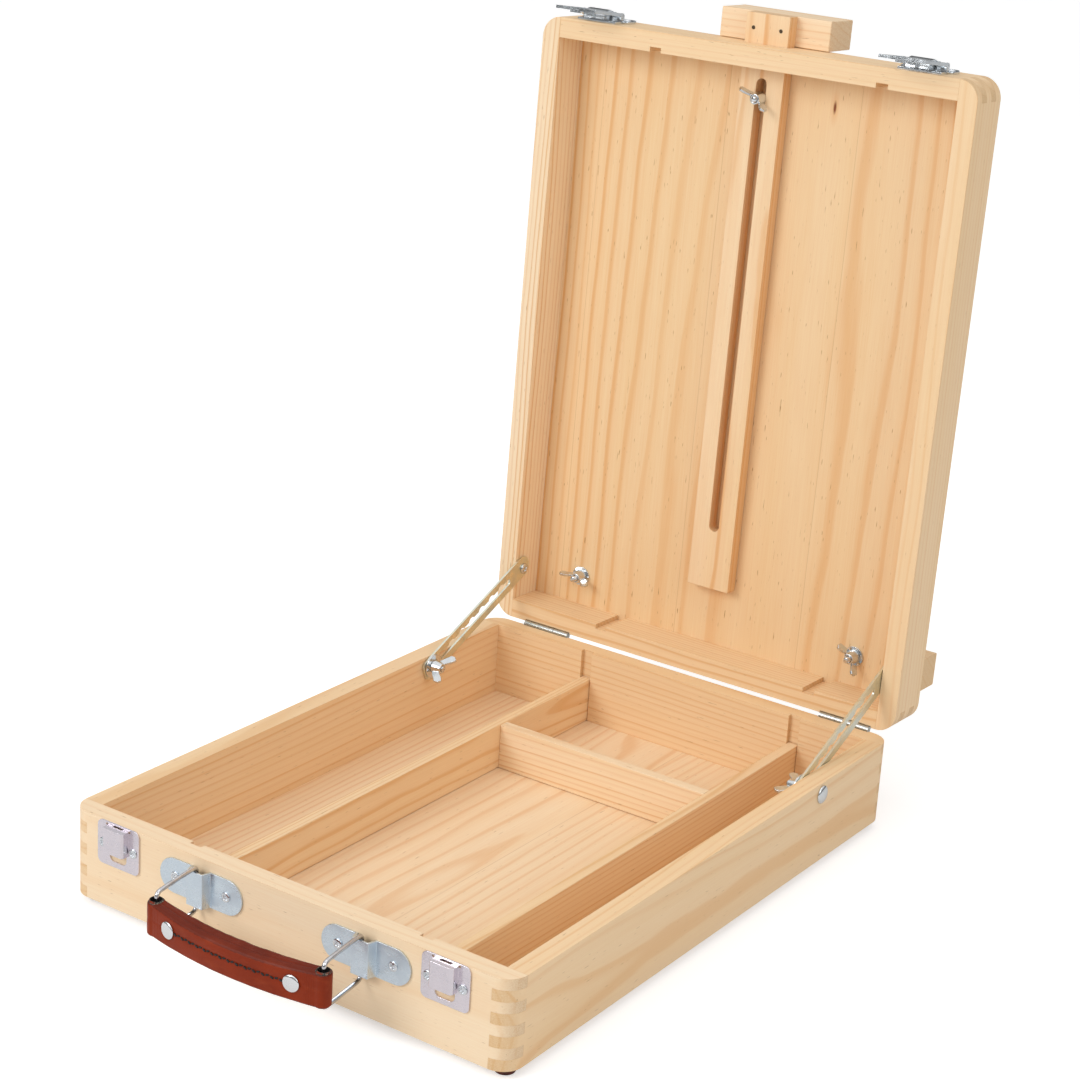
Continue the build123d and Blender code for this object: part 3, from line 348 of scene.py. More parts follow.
def moulded(name, colour, dark, rough):
    """Moulded plastic, thread, or the near-black painted shade inside a bore: fine texture
    and scuffed edges.
    """
    mat, tree, shader = material(name)
    coords = object_coords(tree)
    cloud = noise_at(tree, coords, 150.0, 3.0, 0.5)
    grit = noise_at(tree, coords, 3000.0, 2.0, 0.5)
    base = mix(tree, remap(tree, cloud, 0.3, 0.7), colour, dark)
    near_edge = edge_mask(tree, 0.0008)
    base = mix(tree, calc(tree, "MULTIPLY", near_edge, 0.3), base,
               tuple(min(1.0, v * 1.6 + 0.01) for v in colour))
    finish(tree, shader, base, remap(tree, grit, 0.3, 0.7, rough - 0.06, rough + 0.1),
           bump(tree, grit, 0.25, 0.0001))
    return mat


def flecked(name, dark, light):
    """The rough cut edge of dyed leather, dark with pale fibres standing out of it."""
    mat, tree, shader = material(name)
    grit = noise_at(tree, object_coords(tree), 1500.0, 3.0, 0.65)
    base = mix(tree, remap(tree, grit, 0.52, 0.62), dark, light)
    finish(tree, shader, base, remap(tree, grit, 0.3, 0.7, 0.6, 0.8),
           bump(tree, grit, 0.5, 0.0003))
    return mat


FRESH = srgb(249, 227, 195)
SOFT = srgb(243, 213, 171)
PALE = srgb(246, 217, 178)
CREAM = srgb(240, 205, 154)
TAN = srgb(228, 172, 108)
DEEP = srgb(220, 162, 96)
AMBER = srgb(222, 156, 86)

woods = {
    "tray_front_wall": pine("front_wall_pine", ALONG_X, ALONG_Z, (0.03, -0.07), 1.3, FRESH,
                            PALE, TAN, year=5.0, contrast=0.30, wobble=2.6, fleck=0.7),
    "tray_back_wall": pine("back_wall_pine", ALONG_X, ALONG_Z, (-0.09, -0.155), 2.1, PALE,
                           CREAM, DEEP, year=4.2, contrast=0.62, wobble=1.4),
    "tray_left_wall": pine("left_wall_pine", ALONG_Y, ALONG_Z, (-0.07, -0.11), 3.7, PALE,
                           CREAM, DEEP, year=5.0, contrast=0.62, wobble=1.8,
                           end_dark=0.22),
    "tray_right_wall": pine("right_wall_pine", ALONG_Y, ALONG_Z, (0.02, 0.08), 4.9, PALE,
                            CREAM, TAN, year=4.6, contrast=0.5, wobble=2.6),
    "tray_floor": pine("floor_pine", ALONG_Y, ALONG_X, (0.02, -0.045), 5.5, FRESH, PALE, AMBER,
                       year=5.2, contrast=0.66, wobble=3.2, streak=0.7, boards=(0.082, 0.012)),
    "lid_front_wall": pine("lid_top_pine", ALONG_X, LID_OUT, (0.05, -0.05), 6.2, PALE, CREAM,
                           TAN, year=3.6, contrast=0.45, fleck=0.8),
    "lid_back_wall": pine("lid_low_pine", ALONG_X, LID_OUT, (-0.04, -0.05), 7.4, PALE, CREAM,
                          DEEP, year=3.0, contrast=0.7),
    "lid_left_wall": pine("lid_left_pine", LID_UP, LID_OUT, (0.05, -0.03), 8.8, FRESH, CREAM,
                          DEEP, year=2.8, contrast=0.7, wobble=1.4),
    "lid_right_wall": pine("lid_right_pine", LID_UP, LID_OUT, (0.04, -0.05), 9.6, PALE, CREAM,
                           TAN, year=3.6, contrast=0.5),
    "lid_panel": pine("lid_board_pine", LID_UP, ALONG_X, (0.03, 0.045), 10.4, SOFT, CREAM, AMBER,
                      year=6.0, contrast=0.95, wobble=1.5, fleck=0.85, boards=(0.091, -0.118),
                      knot=(0.0464, 0.2303, 0.4229)),
    "left_divider": pine("divider_pine_left", ALONG_Y, ALONG_Z, (0.03, -0.04), 11.2, PALE,
                         CREAM, DEEP, year=3.0, contrast=0.85, wobble=1.6),
    "right_divider": pine("divider_pine_right", ALONG_Y, ALONG_Z, (-0.06, 0.115), 12.6, PALE,
                          CREAM, DEEP, year=3.2, contrast=0.75, wobble=1.4, streak=0.6),
    "cross_divider": pine("divider_pine_cross", ALONG_X, ALONG_Z, (-0.05, -0.06), 13.3, FRESH,
                          CREAM, DEEP, year=4.0, contrast=0.6),
    # the batten's sides and the walls of its slot carry painted shade
    "clamp_batten": pine("batten_pine", LID_UP, ALONG_X, (0.02, 0.05), 14.1, PALE, CREAM,
                         AMBER, year=3.6, contrast=0.7, side_shade=0.42),
    "clamp_crossbar": pine("bar_pine", ALONG_X, LID_UP, (0.03, -0.05), 15.7, FRESH, PALE, TAN,
                           year=3.6, contrast=0.6),
    "canvas_ledge": pine("ledge_pine", ALONG_X, LID_UP, (-0.04, -0.05), 16.9, PALE, CREAM, TAN,
                         year=3.4, contrast=0.6),
}

nickel = plated("latch_nickel_plate", (0.74, 0.69, 0.74), (0.58, 0.56, 0.63), rough=0.22,
                stain=0.2)
latch_zinc = plated("latch_zinc_plate", (0.74, 0.78, 0.81), (0.52, 0.57, 0.62), rough=0.15,
                    stain=0.25)
bracket_zinc = plated("bracket_zinc", (0.63, 0.71, 0.78), (0.50, 0.59, 0.69), rough=0.26,
                      stain=0.2)
screw_zinc = plated("screw_zinc", (0.72, 0.75, 0.78), (0.54, 0.58, 0.64), rough=0.18)
hinge_plate = plated("hinge_plate", (0.50, 0.51, 0.49), (0.36, 0.37, 0.36), rough=0.26)
chrome = plated("wire_chrome", (0.66, 0.66, 0.68), (0.36, 0.36, 0.38), rough=0.10, stain=0.5)
stay_zinc = plated("stay_yellow_zinc", (0.78, 0.77, 0.63), (0.62, 0.67, 0.62), rough=0.30,
                   stain=0.7, brush=Vector((0, 0.91, 0.41)))
bolt_zinc = plated("fastener_zinc", (0.70, 0.72, 0.73), (0.48, 0.51, 0.53), rough=0.17)
nail_steel = plated("nail_steel", (0.12, 0.09, 0.06), (0.07, 0.05, 0.04), rough=0.5)
rivet_nickel = plated("rivet_nickel", (0.80, 0.81, 0.82), (0.66, 0.67, 0.70), rough=0.14)
strap_leather = leather("strap_leather", srgb(142, 48, 15), srgb(112, 34, 9),
                        srgb(160, 68, 32), rough=0.42)
# a darker copy of the strap leather, painted shade for the strap's top and underside
strap_shade = leather("strap_painted_shade_leather", srgb(116, 38, 13), srgb(82, 22, 6),
                      srgb(140, 54, 26), rough=0.38)
# near-black painted shade for the inside walls of the handle's bores
bore_painted_shade = moulded("bore_painted_shade", srgb(20, 16, 15), srgb(10, 8, 8), rough=0.7)
cut_edge = flecked("cut_edge", srgb(30, 22, 18), srgb(150, 140, 122))
foot_brown = moulded("foot_plastic", srgb(96, 34, 18), srgb(62, 18, 10), rough=0.35)
thread_black = moulded("stitch_thread", srgb(30, 14, 12), srgb(14, 7, 6), rough=0.6)

# ---------------------------------------------------------------- CAD nodes

# the finish of each material slot, apart from nodes with a material of their own
METALS = {
    "hinge_steel": hinge_plate, "latch_nickel": nickel, "bracket_steel": bracket_zinc,
    "stay_steel": stay_zinc, "fastener_steel": bolt_zinc, "nail_steel": nail_steel,
}
# the CAD nodes that a more detailed shape stands for, with their bodies
SCREWS = (
    ("strike_screws", "tray", screw_zinc), ("bracket_screws", "tray", screw_zinc),
    ("latch_screws", "lid", screw_zinc), ("hinge_tray_screws", "tray", hinge_plate),
    ("hinge_lid_screws", "lid", hinge_plate), ("left_stay_screw", "left_stay", bolt_zinc),
    ("right_stay_screw", "right_stay", bolt_zinc),
)
BOLTS = (("stay_bolts", "tray"), ("ledge_bolts", "lid"), ("clamp_bolt", "lid"))
REPLACED = {"strap_rivets", "handle_strap", "tray_feet"}
REPLACED.update(row[0] for row in SCREWS + BOLTS)

CLOSE_POINTS = 2e-6
FLAT_ANGLE = radians(0.6)
SHARP_ANGLE = radians(32)
WOOD_EDGE = 0.0005
METAL_EDGE = 0.00018
NUT_GRAIN = 0.00026
NUT_PASSES = 4


def finish_with(obj, mat):
    """Put one material on every slot of a CAD node."""
    for slot in obj.material_slots:
        slot.material = mat
    if not obj.material_slots:
        obj.data.materials.append(mat)


def modifier(obj, name, kind, **values):
    """Add a modifier and set its properties."""
    added = obj.modifiers.new(name, kind)
    for key, value in values.items():
        setattr(added, key, value)


def plain_faces(obj):
    """Smooth shading, with each flat side of a CAD node as one face."""
    for face in obj.data.polygons:
        face.use_smooth = True
    modifier(obj, "join", "WELD", merge_threshold=CLOSE_POINTS)
    modifier(obj, "one_face_a_side", "DECIMATE", decimate_type="DISSOLVE",
             angle_limit=FLAT_ANGLE)


def dress(obj, mat, soften):
    """Give a CAD node its material and softly rounded edges."""
    finish_with(obj, mat)
    plain_faces(obj)
    modifier(obj, "soft_edges", "BEVEL", width=soften, segments=2, limit_method="ANGLE",
             angle_limit=SHARP_ANGLE, use_clamp_overlap=True)
    modifier(obj, "even_shading", "WEIGHTED_NORMAL", keep_sharp=True)


def rounded(obj, grain, passes):
    """Remesh an object at a grain in metres, and smooth it over that many times."""
    modifier(obj, "remade", "REMESH", mode="VOXEL", voxel_size=grain, use_smooth_shade=True)
    modifier(obj, "soft", "SMOOTH", factor=0.5, iterations=passes)


def cast(obj, mat):
    """Give a CAD node the soft rounded look of a small casting."""
    finish_with(obj, mat)
    rounded(obj, NUT_GRAIN, NUT_PASSES)


def drawn_wire(obj, mat):
    """Give a CAD wire its round section."""
    finish_with(obj, mat)
    plain_faces(obj)
    modifier(obj, "round_section", "SUBSURF", levels=2, render_levels=2)


slots = {entry["node"]: entry["material_slot"] for entry in frame["record"]["subparts"]}
for name, obj in nodes.items():
    if name in REPLACED:
        continue
    if name in woods:
        dress(obj, woods[name], WOOD_EDGE)
    elif name.endswith("wing_nut"):
        cast(obj, bolt_zinc)
    elif name.endswith("handle_loop"):
        drawn_wire(obj, chrome)
    elif "latch" in name:
        dress(obj, latch_zinc, METAL_EDGE)
    else:
        dress(obj, METALS[slots[name]], METAL_EDGE)

# ---------------------------------------------------------------- turned fasteners

ROUND_STEPS = 48
DOME_RINGS = 10
HEAD_RINGS = 16
HEAD_STEPS = 56
SHANK_STEPS = 24
SCREW_THREAD = {"radius": 0.0016, "pitch": 0.0006, "depth": 0.00015}
BOLT_THREAD = {"radius": 0.00193, "pitch": 0.0007, "depth": 0.00022}
NUT_ROOM = 0.0003       # how far a bolt's shown end stops short of its CAD end
RIVET_BACK_RADIUS = 0.0036
RIVET_BACK_HEIGHT = 0.0008
RIVET_SHANK = 0.00155
RIVET_END = 0.0006      # the shank ends this far inside the back head
FOOT_RINGS = 8
FOOT_RIM = 0.35         # the share of a foot's height that stands upright
FOOT_TAPER = 0.12
SHORTEST_SHANK = 0.0004
FIRST_TWIST = 0.5       # each screw's cross stands at its own angle
NEXT_TWIST = 1.7


def islands(name):
    """Each separate solid of a CAD node, in the order of its corners, so that every run gives
    the same: its corner points and the area that faces each way."""
    source = nodes[name]
    maker = bmesh.new()
    maker.from_mesh(source.data)
    maker.transform(source.matrix_world)
    bmesh.ops.remove_doubles(maker, verts=maker.verts, dist=1e-6)
    maker.normal_update()
    seen = set()
    found = []
    for start in maker.verts:
        if start in seen:
            continue
        seen.add(start)
        stack = [start]
        points = []
        ways = {}
        while stack:
            vert = stack.pop()
            points.append(vert.co.copy())
            for face in vert.link_faces:
                way = tuple(round(v, 2) for v in face.normal)
                ways[way] = ways.get(way, 0.0) + face.calc_area() / 3
            for link in vert.link_edges:
                other = link.other_vert(vert)
                if other not in seen:
                    seen.add(other)
                    stack.append(other)
        found.append((points, ways))
    maker.free()
    return found


def heads(name):
    """The seat of each head of a CAD node, its radius, and how far it reaches both ways."""
    seats = []
    for points, ways in islands(name):
        out = -Vector(max(ways, key=ways.get)).normalized()
        turn = out.to_track_quat("Z", "Y").to_matrix()
        local = [turn.transposed() @ p for p in points]
        middle = [(max(p[i] for p in local) + min(p[i] for p in local)) / 2 for i in (0, 1)]
        spread = [sqrt((p.x - middle[0]) ** 2 + (p.y - middle[1]) ** 2) for p in local]
        widest = max(spread)
        seat = min(p.z for p, r in zip(local, spread) if r > widest * 0.96)
        place = Matrix.Translation(turn @ Vector((*middle, seat))) @ turn.to_4x4()
        low = min(p.z for p in local) - seat
        high = max(p.z for p in local) - seat
        seats.append((place, widest, low, high))
    return seats


def grid_round(rings):
    """A closed turned surface: each ring is its points in metres, a single one for a centre."""
    maker = bmesh.new()
    rows = [[maker.verts.new(p) for p in points] for points in rings]
    for low, high in zip(rows, rows[1:]):
        count = max(len(low), len(high))
        for i in range(count):
            corners = []
            for vert in (low[i % len(low)], low[(i + 1) % len(low)],
                         high[(i + 1) % len(high)], high[i % len(high)]):
                if vert not in corners:
                    corners.append(vert)
            if len(corners) > 2:
                maker.faces.new(corners)
    bmesh.ops.recalc_face_normals(maker, faces=maker.faces)
    return maker


def ring(radius, height, steps=ROUND_STEPS, lift=None):
    """Points round the local Z, in metres, or one point where the radius is zero. lift moves
    them up by their place."""
    if radius == 0:
        return [Vector((0, 0, height + (lift(0, 0) if lift else 0)))]
    points = []
    for i in range(steps):
        x = radius * cos(2 * pi * i / steps)
        y = radius * sin(2 * pi * i / steps)
        points.append(Vector((x, y, height + (lift(x, y) if lift else 0))))
    return points


def cross_recess(half_width, reach, depth):
    """The driver's cross in a screw head, as a function that sinks the points inside it."""
    def lift(x, y):
        across = min(abs(x), abs(y))
        along = max(abs(x), abs(y))
        inside = min(1.0, max(0.0, (half_width - across) / (half_width * 0.5) + 0.5))
        end = min(1.0, max(0.0, (reach - along) / (reach * 0.3)))
        return -depth * inside * end
    return lift


def domed(radius, height, rim=0.25):
    """The rings of a domed head standing on its seat, with a short upright rim."""
    rings = [ring(0, 0.0), ring(radius * 0.97, 0.0), ring(radius, height * rim * 0.4)]
    for i in range(DOME_RINGS + 1):
        share = i / DOME_RINGS
        r = radius * cos(share * pi / 2) if i < DOME_RINGS else 0
        rings.append(ring(r, height * (rim + (1 - rim) * sin(share * pi / 2))))
    return rings


def pan_screw(radius, height):
    """A domed screw head with a cross recess."""
    lift = cross_recess(radius * 0.15, radius * 0.62, height * 0.62)
    rings = [ring(0, 0.0), ring(radius * 0.96, 0.0, HEAD_STEPS),
             ring(radius, height * 0.2, HEAD_STEPS)]
    for i in range(HEAD_RINGS + 1):
        r = radius * (1 - i / HEAD_RINGS)
        z = height * (0.35 + 0.65 * sqrt(max(0.0, 1 - (r / radius) ** 2)))
        rings.append(ring(r, z, HEAD_STEPS, lift))
    return rings


def thread(radius, length, pitch, depth):
    """The rings of a threaded shank from its seat down to its end."""
    rings = []
    count = int(length / pitch * 8)
    for i in range(count + 1):
        z = -length * i / count
        points = []
        for k in range(SHANK_STEPS):
            angle = 2 * pi * k / SHANK_STEPS
            phase = (z / pitch + k / SHANK_STEPS) % 1.0
            r = radius - depth * abs(2 * phase - 1)
            points.append(Vector((r * cos(angle), r * sin(angle), z)))
        rings.append(points)
    rings.append(ring(radius * 0.72, -length - radius * 0.12, SHANK_STEPS))
    rings.append(ring(0, -length - radius * 0.12))
    return rings


def piece_from(name, shapes, mat, node, body):
    """One shown object from several turned shapes, each given as its rings and its place. It
    stands for a CAD node where one is named."""
    mesh = bpy.data.meshes.new(name)
    whole = bmesh.new()
    for rings, place in shapes:
        maker = grid_round(rings)
        part = bpy.data.meshes.new(name + "_part")
        maker.transform(place)
        maker.to_mesh(part)
        maker.free()
        whole.from_mesh(part)
        bpy.data.meshes.remove(part)
    for face in whole.faces:
        face.smooth = True
    whole.to_mesh(mesh)
    whole.free()
    mesh.materials.append(mat)
    obj = bpy.data.objects.new(name, mesh)
    scene.collection.objects.link(obj)
    if node:
        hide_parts(node)
    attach(obj, body)


for node, body, mat in SCREWS:
    made = []
    for place, wide, low, high in heads(node):
        twist = Matrix.Rotation(FIRST_TWIST + NEXT_TWIST * len(made), 4, "Z")
        made.append((pan_screw(wide, high), place @ twist))
        if -low > SHORTEST_SHANK:
            made.append((thread(length=-low, **SCREW_THREAD), place))
    piece_from("look_" + node, made, mat, node, body)

for node, body in BOLTS:
    made = []
    for place, wide, low, high in heads(node):
        made.append((domed(wide, high), place))
        made.append((thread(length=-low - NUT_ROOM, **BOLT_THREAD), place))
    piece_from("look_" + node, made, bolt_zinc, node, body)

made = []
for place, wide, low, high in heads("strap_rivets"):
    made.append((domed(wide, high, rim=0.2), place))
    back_face = Matrix.Translation((0, 0, low + RIVET_BACK_HEIGHT)) @ Matrix.Rotation(pi, 4, "X")
    made.append((domed(RIVET_BACK_RADIUS, RIVET_BACK_HEIGHT, rim=0.3), place @ back_face))
    end = low + RIVET_END
    made.append(([ring(0, 0.0), ring(RIVET_SHANK, 0.0, SHANK_STEPS),
                  ring(RIVET_SHANK, end, SHANK_STEPS), ring(0, end)], place))
piece_from("look_strap_rivets", made, rivet_nickel, "strap_rivets", "handle")

made = []
for place, wide, low, high in heads("tray_feet"):
    deep = max(-low, high)
    rings = [ring(0, 0.0), ring(wide, 0.0)]
    for i in range(FOOT_RINGS + 1):
        share = i / FOOT_RINGS
        r = wide * (1.0 - FOOT_TAPER * (1 - cos(share * pi / 2)))
        rings.append(ring(r, deep * (FOOT_RIM + (1 - FOOT_RIM) * sin(share * pi / 2))))
    rings.append(ring(0, deep))
    made.append((rings, place))
piece_from("look_tray_feet", made, foot_brown, "tray_feet", "tray")

# ---------------------------------------------------------------- leather handle

# the handle's measures are in mm
FRONT_Y = -209.887      # the tray's front face
SWING = radians(7.0)    # how far the wire loops stand turned to the side
LOOP_REACH = 36.0
STRAP_X = 1.9 + LOOP_REACH * sin(SWING)
STRAP_Y = FRONT_Y - 2.7 - LOOP_REACH * cos(SWING)
STRAP_Z = 39.3
HALF_STRAP = 56.1       # from the strap's middle to each wire
BOW = 6.5               # how far the middle bows out from the wires
BOW_RADIUS = (HALF_STRAP ** 2 + BOW ** 2) / (2 * BOW)
BOW_MIDDLE_Y = STRAP_Y - BOW + BOW_RADIUS
HALF_THICK = 4.1
BORE = 3.1
RIVET_HALF = 40.7       # from the strap's middle to each rivet, along the bow
FULL_HALF = 47.5        # the strap is filled out as far as this from its middle
STRAP_GRAIN = 0.00038
STRAP_PASSES = 6
TOP_SLOPE = 3.4         # how much lower the front layer's top stands than the back's
SEWN_DEPTH = 0.42
SEWN_SWELL = 0.16
RIVET_DENT = 0.24
FURROW = 0.75
TUCK_LEAST = 0.35
TUCK_MORE = 0.55
TUCK_RIPPLE = 0.22
BACK_RIPPLE = 0.30
BEND_CREASE = 0.07
SKIN_RIPPLE = 0.10


def bell(value, width):
    """A smooth bump that is 1 at zero and falls off over a width."""
    return 1.0 / (1.0 + (value / width) ** 4)


def wrinkle(x, y, z, size):
    """Smooth noise from -1 to 1, with waves of a size."""
    return noise.noise(Vector((x / size, y / size, z / size)))


def from_bore(x, y):
    """How far a point is from the axis of the nearer wire."""
    return min(sqrt((x - STRAP_X - side * HALF_STRAP) ** 2 + (y - STRAP_Y) ** 2)
               for side in (-1, 1))


def relief(arc, depth, height, facing, upward):
    """How far the leather stands out of the plain strap. arc, depth and height place a point
    along the bow, through the strap and up it. facing and upward are how far its surface
    looks to the front and up."""
    full = bell(arc, FULL_HALF)
    push = 0.0
    if abs(facing) > 0.5:
        # the sewn line pulls the two faces in, and the leather swells beside it
        sewn = bell(arc, RIVET_HALF - 1.0)
        push -= SEWN_DEPTH * sewn * bell(height, 0.75)
        push += SEWN_SWELL * sewn * bell(abs(height) - 4.4, 2.6)
        # pressed round each rivet
        from_rivet = sqrt((abs(arc) - RIVET_HALF) ** 2 + height ** 2)
        push -= RIVET_DENT * bell(from_rivet - 5.2, 0.8)
    if abs(upward) > 0.45:
        # the two layers meet in a furrow along the top and the underside
        push -= FURROW * full * bell(depth + 0.3, 0.55)
        # the back layer is gathered into small uneven tucks
        tuck = 0.5 + 0.5 * wrinkle(arc, 3.0, 0.0, 4.5)
        behind = bell(depth + 2.6, 1.4)
        push -= (TUCK_LEAST + TUCK_MORE * tuck) * full * behind
        push += TUCK_RIPPLE * full * wrinkle(arc, depth, 7.0, 2.2) * behind
    if facing < -0.4:
        push += BACK_RIPPLE * full * wrinkle(arc, 1.0, height, 6.5)
    # fine creases where the ends bend round the wire
    bend = bell(abs(arc) - 51.0, 2.6)
    push += BEND_CREASE * bend * sin(arc * 5.0 + 1.5 * wrinkle(arc, depth, height, 3.0))
    return push + SKIN_RIPPLE * wrinkle(arc, depth, height, 7.0)


source = nodes["handle_strap"]
rough_strap = bpy.data.objects.new("rough_strap", source.data.copy())
rough_strap.matrix_world = source.matrix_world
scene.collection.objects.link(rough_strap)
rounded(rough_strap, STRAP_GRAIN, STRAP_PASSES)
bpy.context.view_layer.update()
solid = bpy.data.meshes.new_from_object(
    rough_strap.evaluated_get(bpy.context.evaluated_depsgraph_get()))
solid.transform(rough_strap.matrix_world)
bpy.data.objects.remove(rough_strap)
solid.name = "leather_handle"

for vert, normal in zip(solid.vertices, [v.vector.copy() for v in solid.vertex_normals]):
    x, y, z = vert.co / MM
    if from_bore(x, y) <= BORE + 0.5:
        continue
    off_x = x - STRAP_X
    off_y = BOW_MIDDLE_Y - y
    arc = atan2(off_x, off_y) * BOW_RADIUS
    depth = sqrt(off_x ** 2 + off_y ** 2) - BOW_RADIUS
    height = z - STRAP_Z
    facing = normal.x * off_x / BOW_RADIUS - normal.y * off_y / BOW_RADIUS
    # the front layer stands lower than the folded back, so the top slopes to the front
    over = min(1.0, max(0.0, (height - 1.0) / 8.0))
    drop = TOP_SLOPE * bell(arc, FULL_HALF) * over * (depth + HALF_THICK) / (2 * HALF_THICK)
    vert.co += normal * relief(arc, depth, height, facing, normal.z) * MM
    vert.co.z -= drop * MM
solid.update()

solid.materials.clear()
for mat in (strap_leather, strap_shade, bore_painted_shade, cut_edge):
    solid.materials.append(mat)
PAINTED_SHADE, BORE_SHADE, RIM = 1, 2, 3
for face in solid.polygons:
    face.use_smooth = True
    x, y, z = face.center / MM
    upright = abs(face.normal.z)
    # painted shade: the inside walls of each bore take the near-black material
    if from_bore(x, y) < BORE + 0.35 and upright < 0.75:
        face.material_index = BORE_SHADE
    elif from_bore(x, y) < BORE + 1.0 and upright >= 0.3:
        face.material_index = RIM
    # painted shade: faces that look up or down take the darker copy of the strap leather
    elif face.normal.z > 0.45 or face.normal.z < -0.6:
        face.material_index = PAINTED_SHADE

strap_look = bpy.data.objects.new("leather_handle", solid)
scene.collection.objects.link(strap_look)
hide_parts("handle_strap")
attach(strap_look, "handle")


STITCH_HALF = 1.25
THREAD_RADIUS = 0.58
THREAD_RINGS = 8
THREAD_STEPS = 10
STITCHES = 13           # on each side of the middle one
STITCH_STEP = (RIVET_HALF - 5.6) / STITCHES
STITCH_SINK = 0.22
STITCH_LEAN = 0.40
ZIGZAG = 0.30


def stitch():
    """The rings of one short length of waxed thread, along its local X."""
    rings = []
    for i in range(THREAD_RINGS + 1):
        share = -1 + 2 * i / THREAD_RINGS
        r = THREAD_RADIUS * sqrt(max(0.0, 1 - share ** 4))
        steps = 1 if i in (0, THREAD_RINGS) else THREAD_STEPS
        rings.append([Vector((share * STITCH_HALF, r * cos(2 * pi * k / steps),
                              r * sin(2 * pi * k / steps))) * MM for k in range(steps)])
    return rings


made = []
for side in (-1, 1):
    for i in range(-STITCHES, STITCHES + 1):
        angle = i * STITCH_STEP / BOW_RADIUS
        reach = BOW_RADIUS + side * (HALF_THICK - STITCH_SINK)
        lean = STITCH_LEAN * (-1) ** i + 0.05 * wrinkle(i * 1.7, side, 0, 1.0)
        rise = ZIGZAG * (-1) ** i + 0.16 * wrinkle(i * 2.3, side * 3.0, 1.0, 1.0)
        place = Matrix.Translation(Vector((
            STRAP_X + reach * sin(angle), BOW_MIDDLE_Y - reach * cos(angle),
            STRAP_Z + rise)) * MM)
        way = Vector((cos(angle), sin(angle), 0))
        out = Vector((sin(angle), -cos(angle), 0))
        turn = Matrix((way, out.cross(way), out)).transposed().to_4x4()
        made.append((stitch(), place @ turn @ Matrix.Rotation(lean, 4, "Z")))
piece_from("handle_stitches", made, thread_black, None, "handle")

# ---------------------------------------------------------------- light, floor and camera

WORLD_LEVEL = 0.60
# polished metal sees a studio that is bright above and dark round its walls, by height
STUDIO = ((0.0, 0.10), (0.16, 0.14), (0.30, 0.46), (0.44, 0.66), (0.62, 1.0))
FLOOR_GLOW = 0.50
FLOOR_IN_METAL = 0.12


def ray_kinds(tree):
    """Whether a ray comes straight from the camera, and whether it is a glossy one."""
    rays = tree.nodes.new("ShaderNodeLightPath")
    straight = calc(tree, "MAXIMUM", rays.outputs["Is Camera Ray"],
                    rays.outputs["Is Transmission Ray"])
    return straight, rays.outputs["Is Glossy Ray"]


world = bpy.data.worlds.new("studio")
scene.world = world
world.use_nodes = True
tree = world.node_tree
back = tree.nodes["Background"]
straight, glossy = ray_kinds(tree)
sky = put(tree, "ShaderNodeSeparateXYZ",
          in_0=tree.nodes.new("ShaderNodeTexCoord").outputs["Generated"]).outputs[2]
lit = calc(tree, "MULTIPLY_ADD", glossy,
           calc(tree, "SUBTRACT", grey_ramp(tree, sky, STUDIO), WORLD_LEVEL), WORLD_LEVEL)
tree.links.new(calc(tree, "MAXIMUM", lit, straight), back.inputs["Strength"])
back.inputs["Color"].default_value = (1, 1, 1, 1)


def softbox(name, place, aim, size, power):
    """A square studio lamp at a place, turned to a point."""
    light = bpy.data.lights.new(name, "AREA")
    light.shape = "SQUARE"
    light.size = size
    light.energy = power
    lamp = bpy.data.objects.new(name, light)
    lamp.location = place
    lamp.rotation_euler = (Vector(aim) - Vector(place)).to_track_quat("-Z", "Y").to_euler()
    scene.collection.objects.link(lamp)


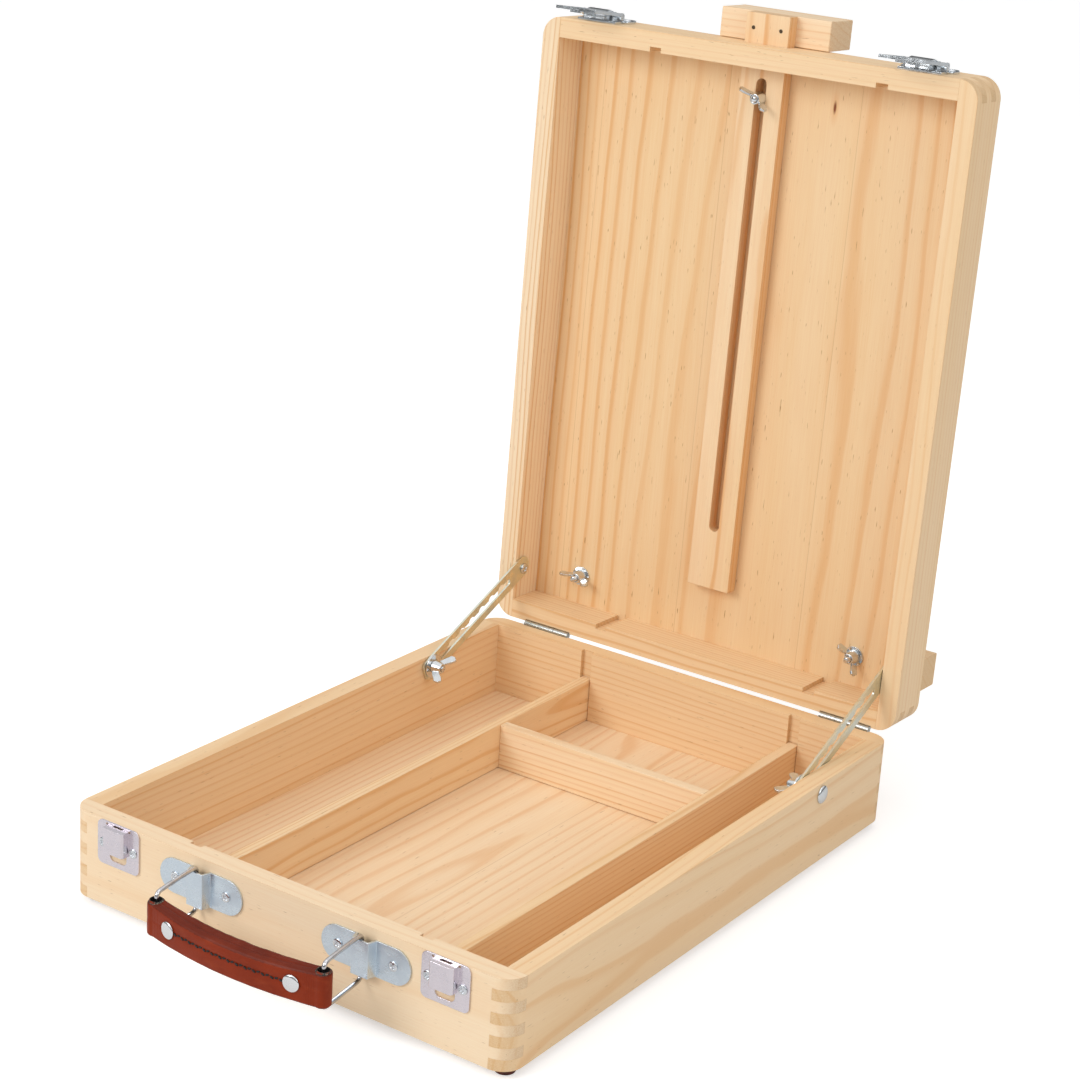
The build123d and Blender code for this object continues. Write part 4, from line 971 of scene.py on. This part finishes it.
softbox("key", (-0.9, -2.0, 1.5), (0, 0, 0.1), 1.2, 26)
softbox("top", (0.3, 0.1, 2.2), (0, 0, 0.1), 1.4, 5)
softbox("fill", (1.9, -0.6, 1.2), (0, 0, 0.15), 1.2, 6)

# a wide white floor that only shows the object's shadow
sheet = bpy.data.meshes.new("floor")
maker = bmesh.new()
bmesh.ops.create_grid(maker, x_segments=24, y_segments=24, size=6.0)
maker.to_mesh(sheet)
maker.free()
floor = bpy.data.objects.new("floor", sheet)
floor.location = (0, 0, -0.0002)
scene.collection.objects.link(floor)
floor_mat, tree, shader = material("floor_white")
straight, glossy = ray_kinds(tree)
seen = calc(tree, "MAXIMUM", straight, calc(tree, "MULTIPLY", glossy, FLOOR_IN_METAL))
tooth = noise_at(tree, object_coords(tree), 300.0, 2.0)
tree.links.new(mix(tree, tooth, (0.80, 0.80, 0.80), (0.82, 0.82, 0.82)),
               shader.inputs["Base Color"])
shader.inputs["Roughness"].default_value = 0.9
shader.inputs["Specular IOR Level"].default_value = 0.1
glow = tree.nodes.new("ShaderNodeEmission")
tree.links.new(calc(tree, "MULTIPLY", seen, FLOOR_GLOW), glow.inputs["Strength"])
both = put(tree, "ShaderNodeAddShader", in_0=shader.outputs[0], in_1=glow.outputs[0])
tree.links.new(both.outputs[0], tree.nodes["Material Output"].inputs["Surface"])
sheet.materials.append(floor_mat)

# the camera that was fitted to the photograph's corners
RIGHT = Vector((0.81736, 0.57313, 0.05873))
UP = Vector((-0.23647, 0.24078, 0.94133))
FORWARD = Vector((-0.52536, 0.78330, -0.33233))
FOOT_HEIGHT = 5.0
CAMERA_PLACE = Vector((755.898, -904.439 + FRONT_Y, 665.818 + FOOT_HEIGHT)) * MM
camera_data = bpy.data.cameras.new("camera")
camera_data.sensor_width = 36.0
camera_data.lens = 84.19
camera_data.clip_start = 0.05
camera_data.clip_end = 30.0
camera = bpy.data.objects.new("camera", camera_data)
scene.collection.objects.link(camera)
turned = Matrix((RIGHT, UP, -FORWARD)).transposed()
camera.matrix_world = Matrix.Translation(CAMERA_PLACE) @ turned.to_4x4()
scene.camera = camera
scene.view_settings.view_transform = "Standard"

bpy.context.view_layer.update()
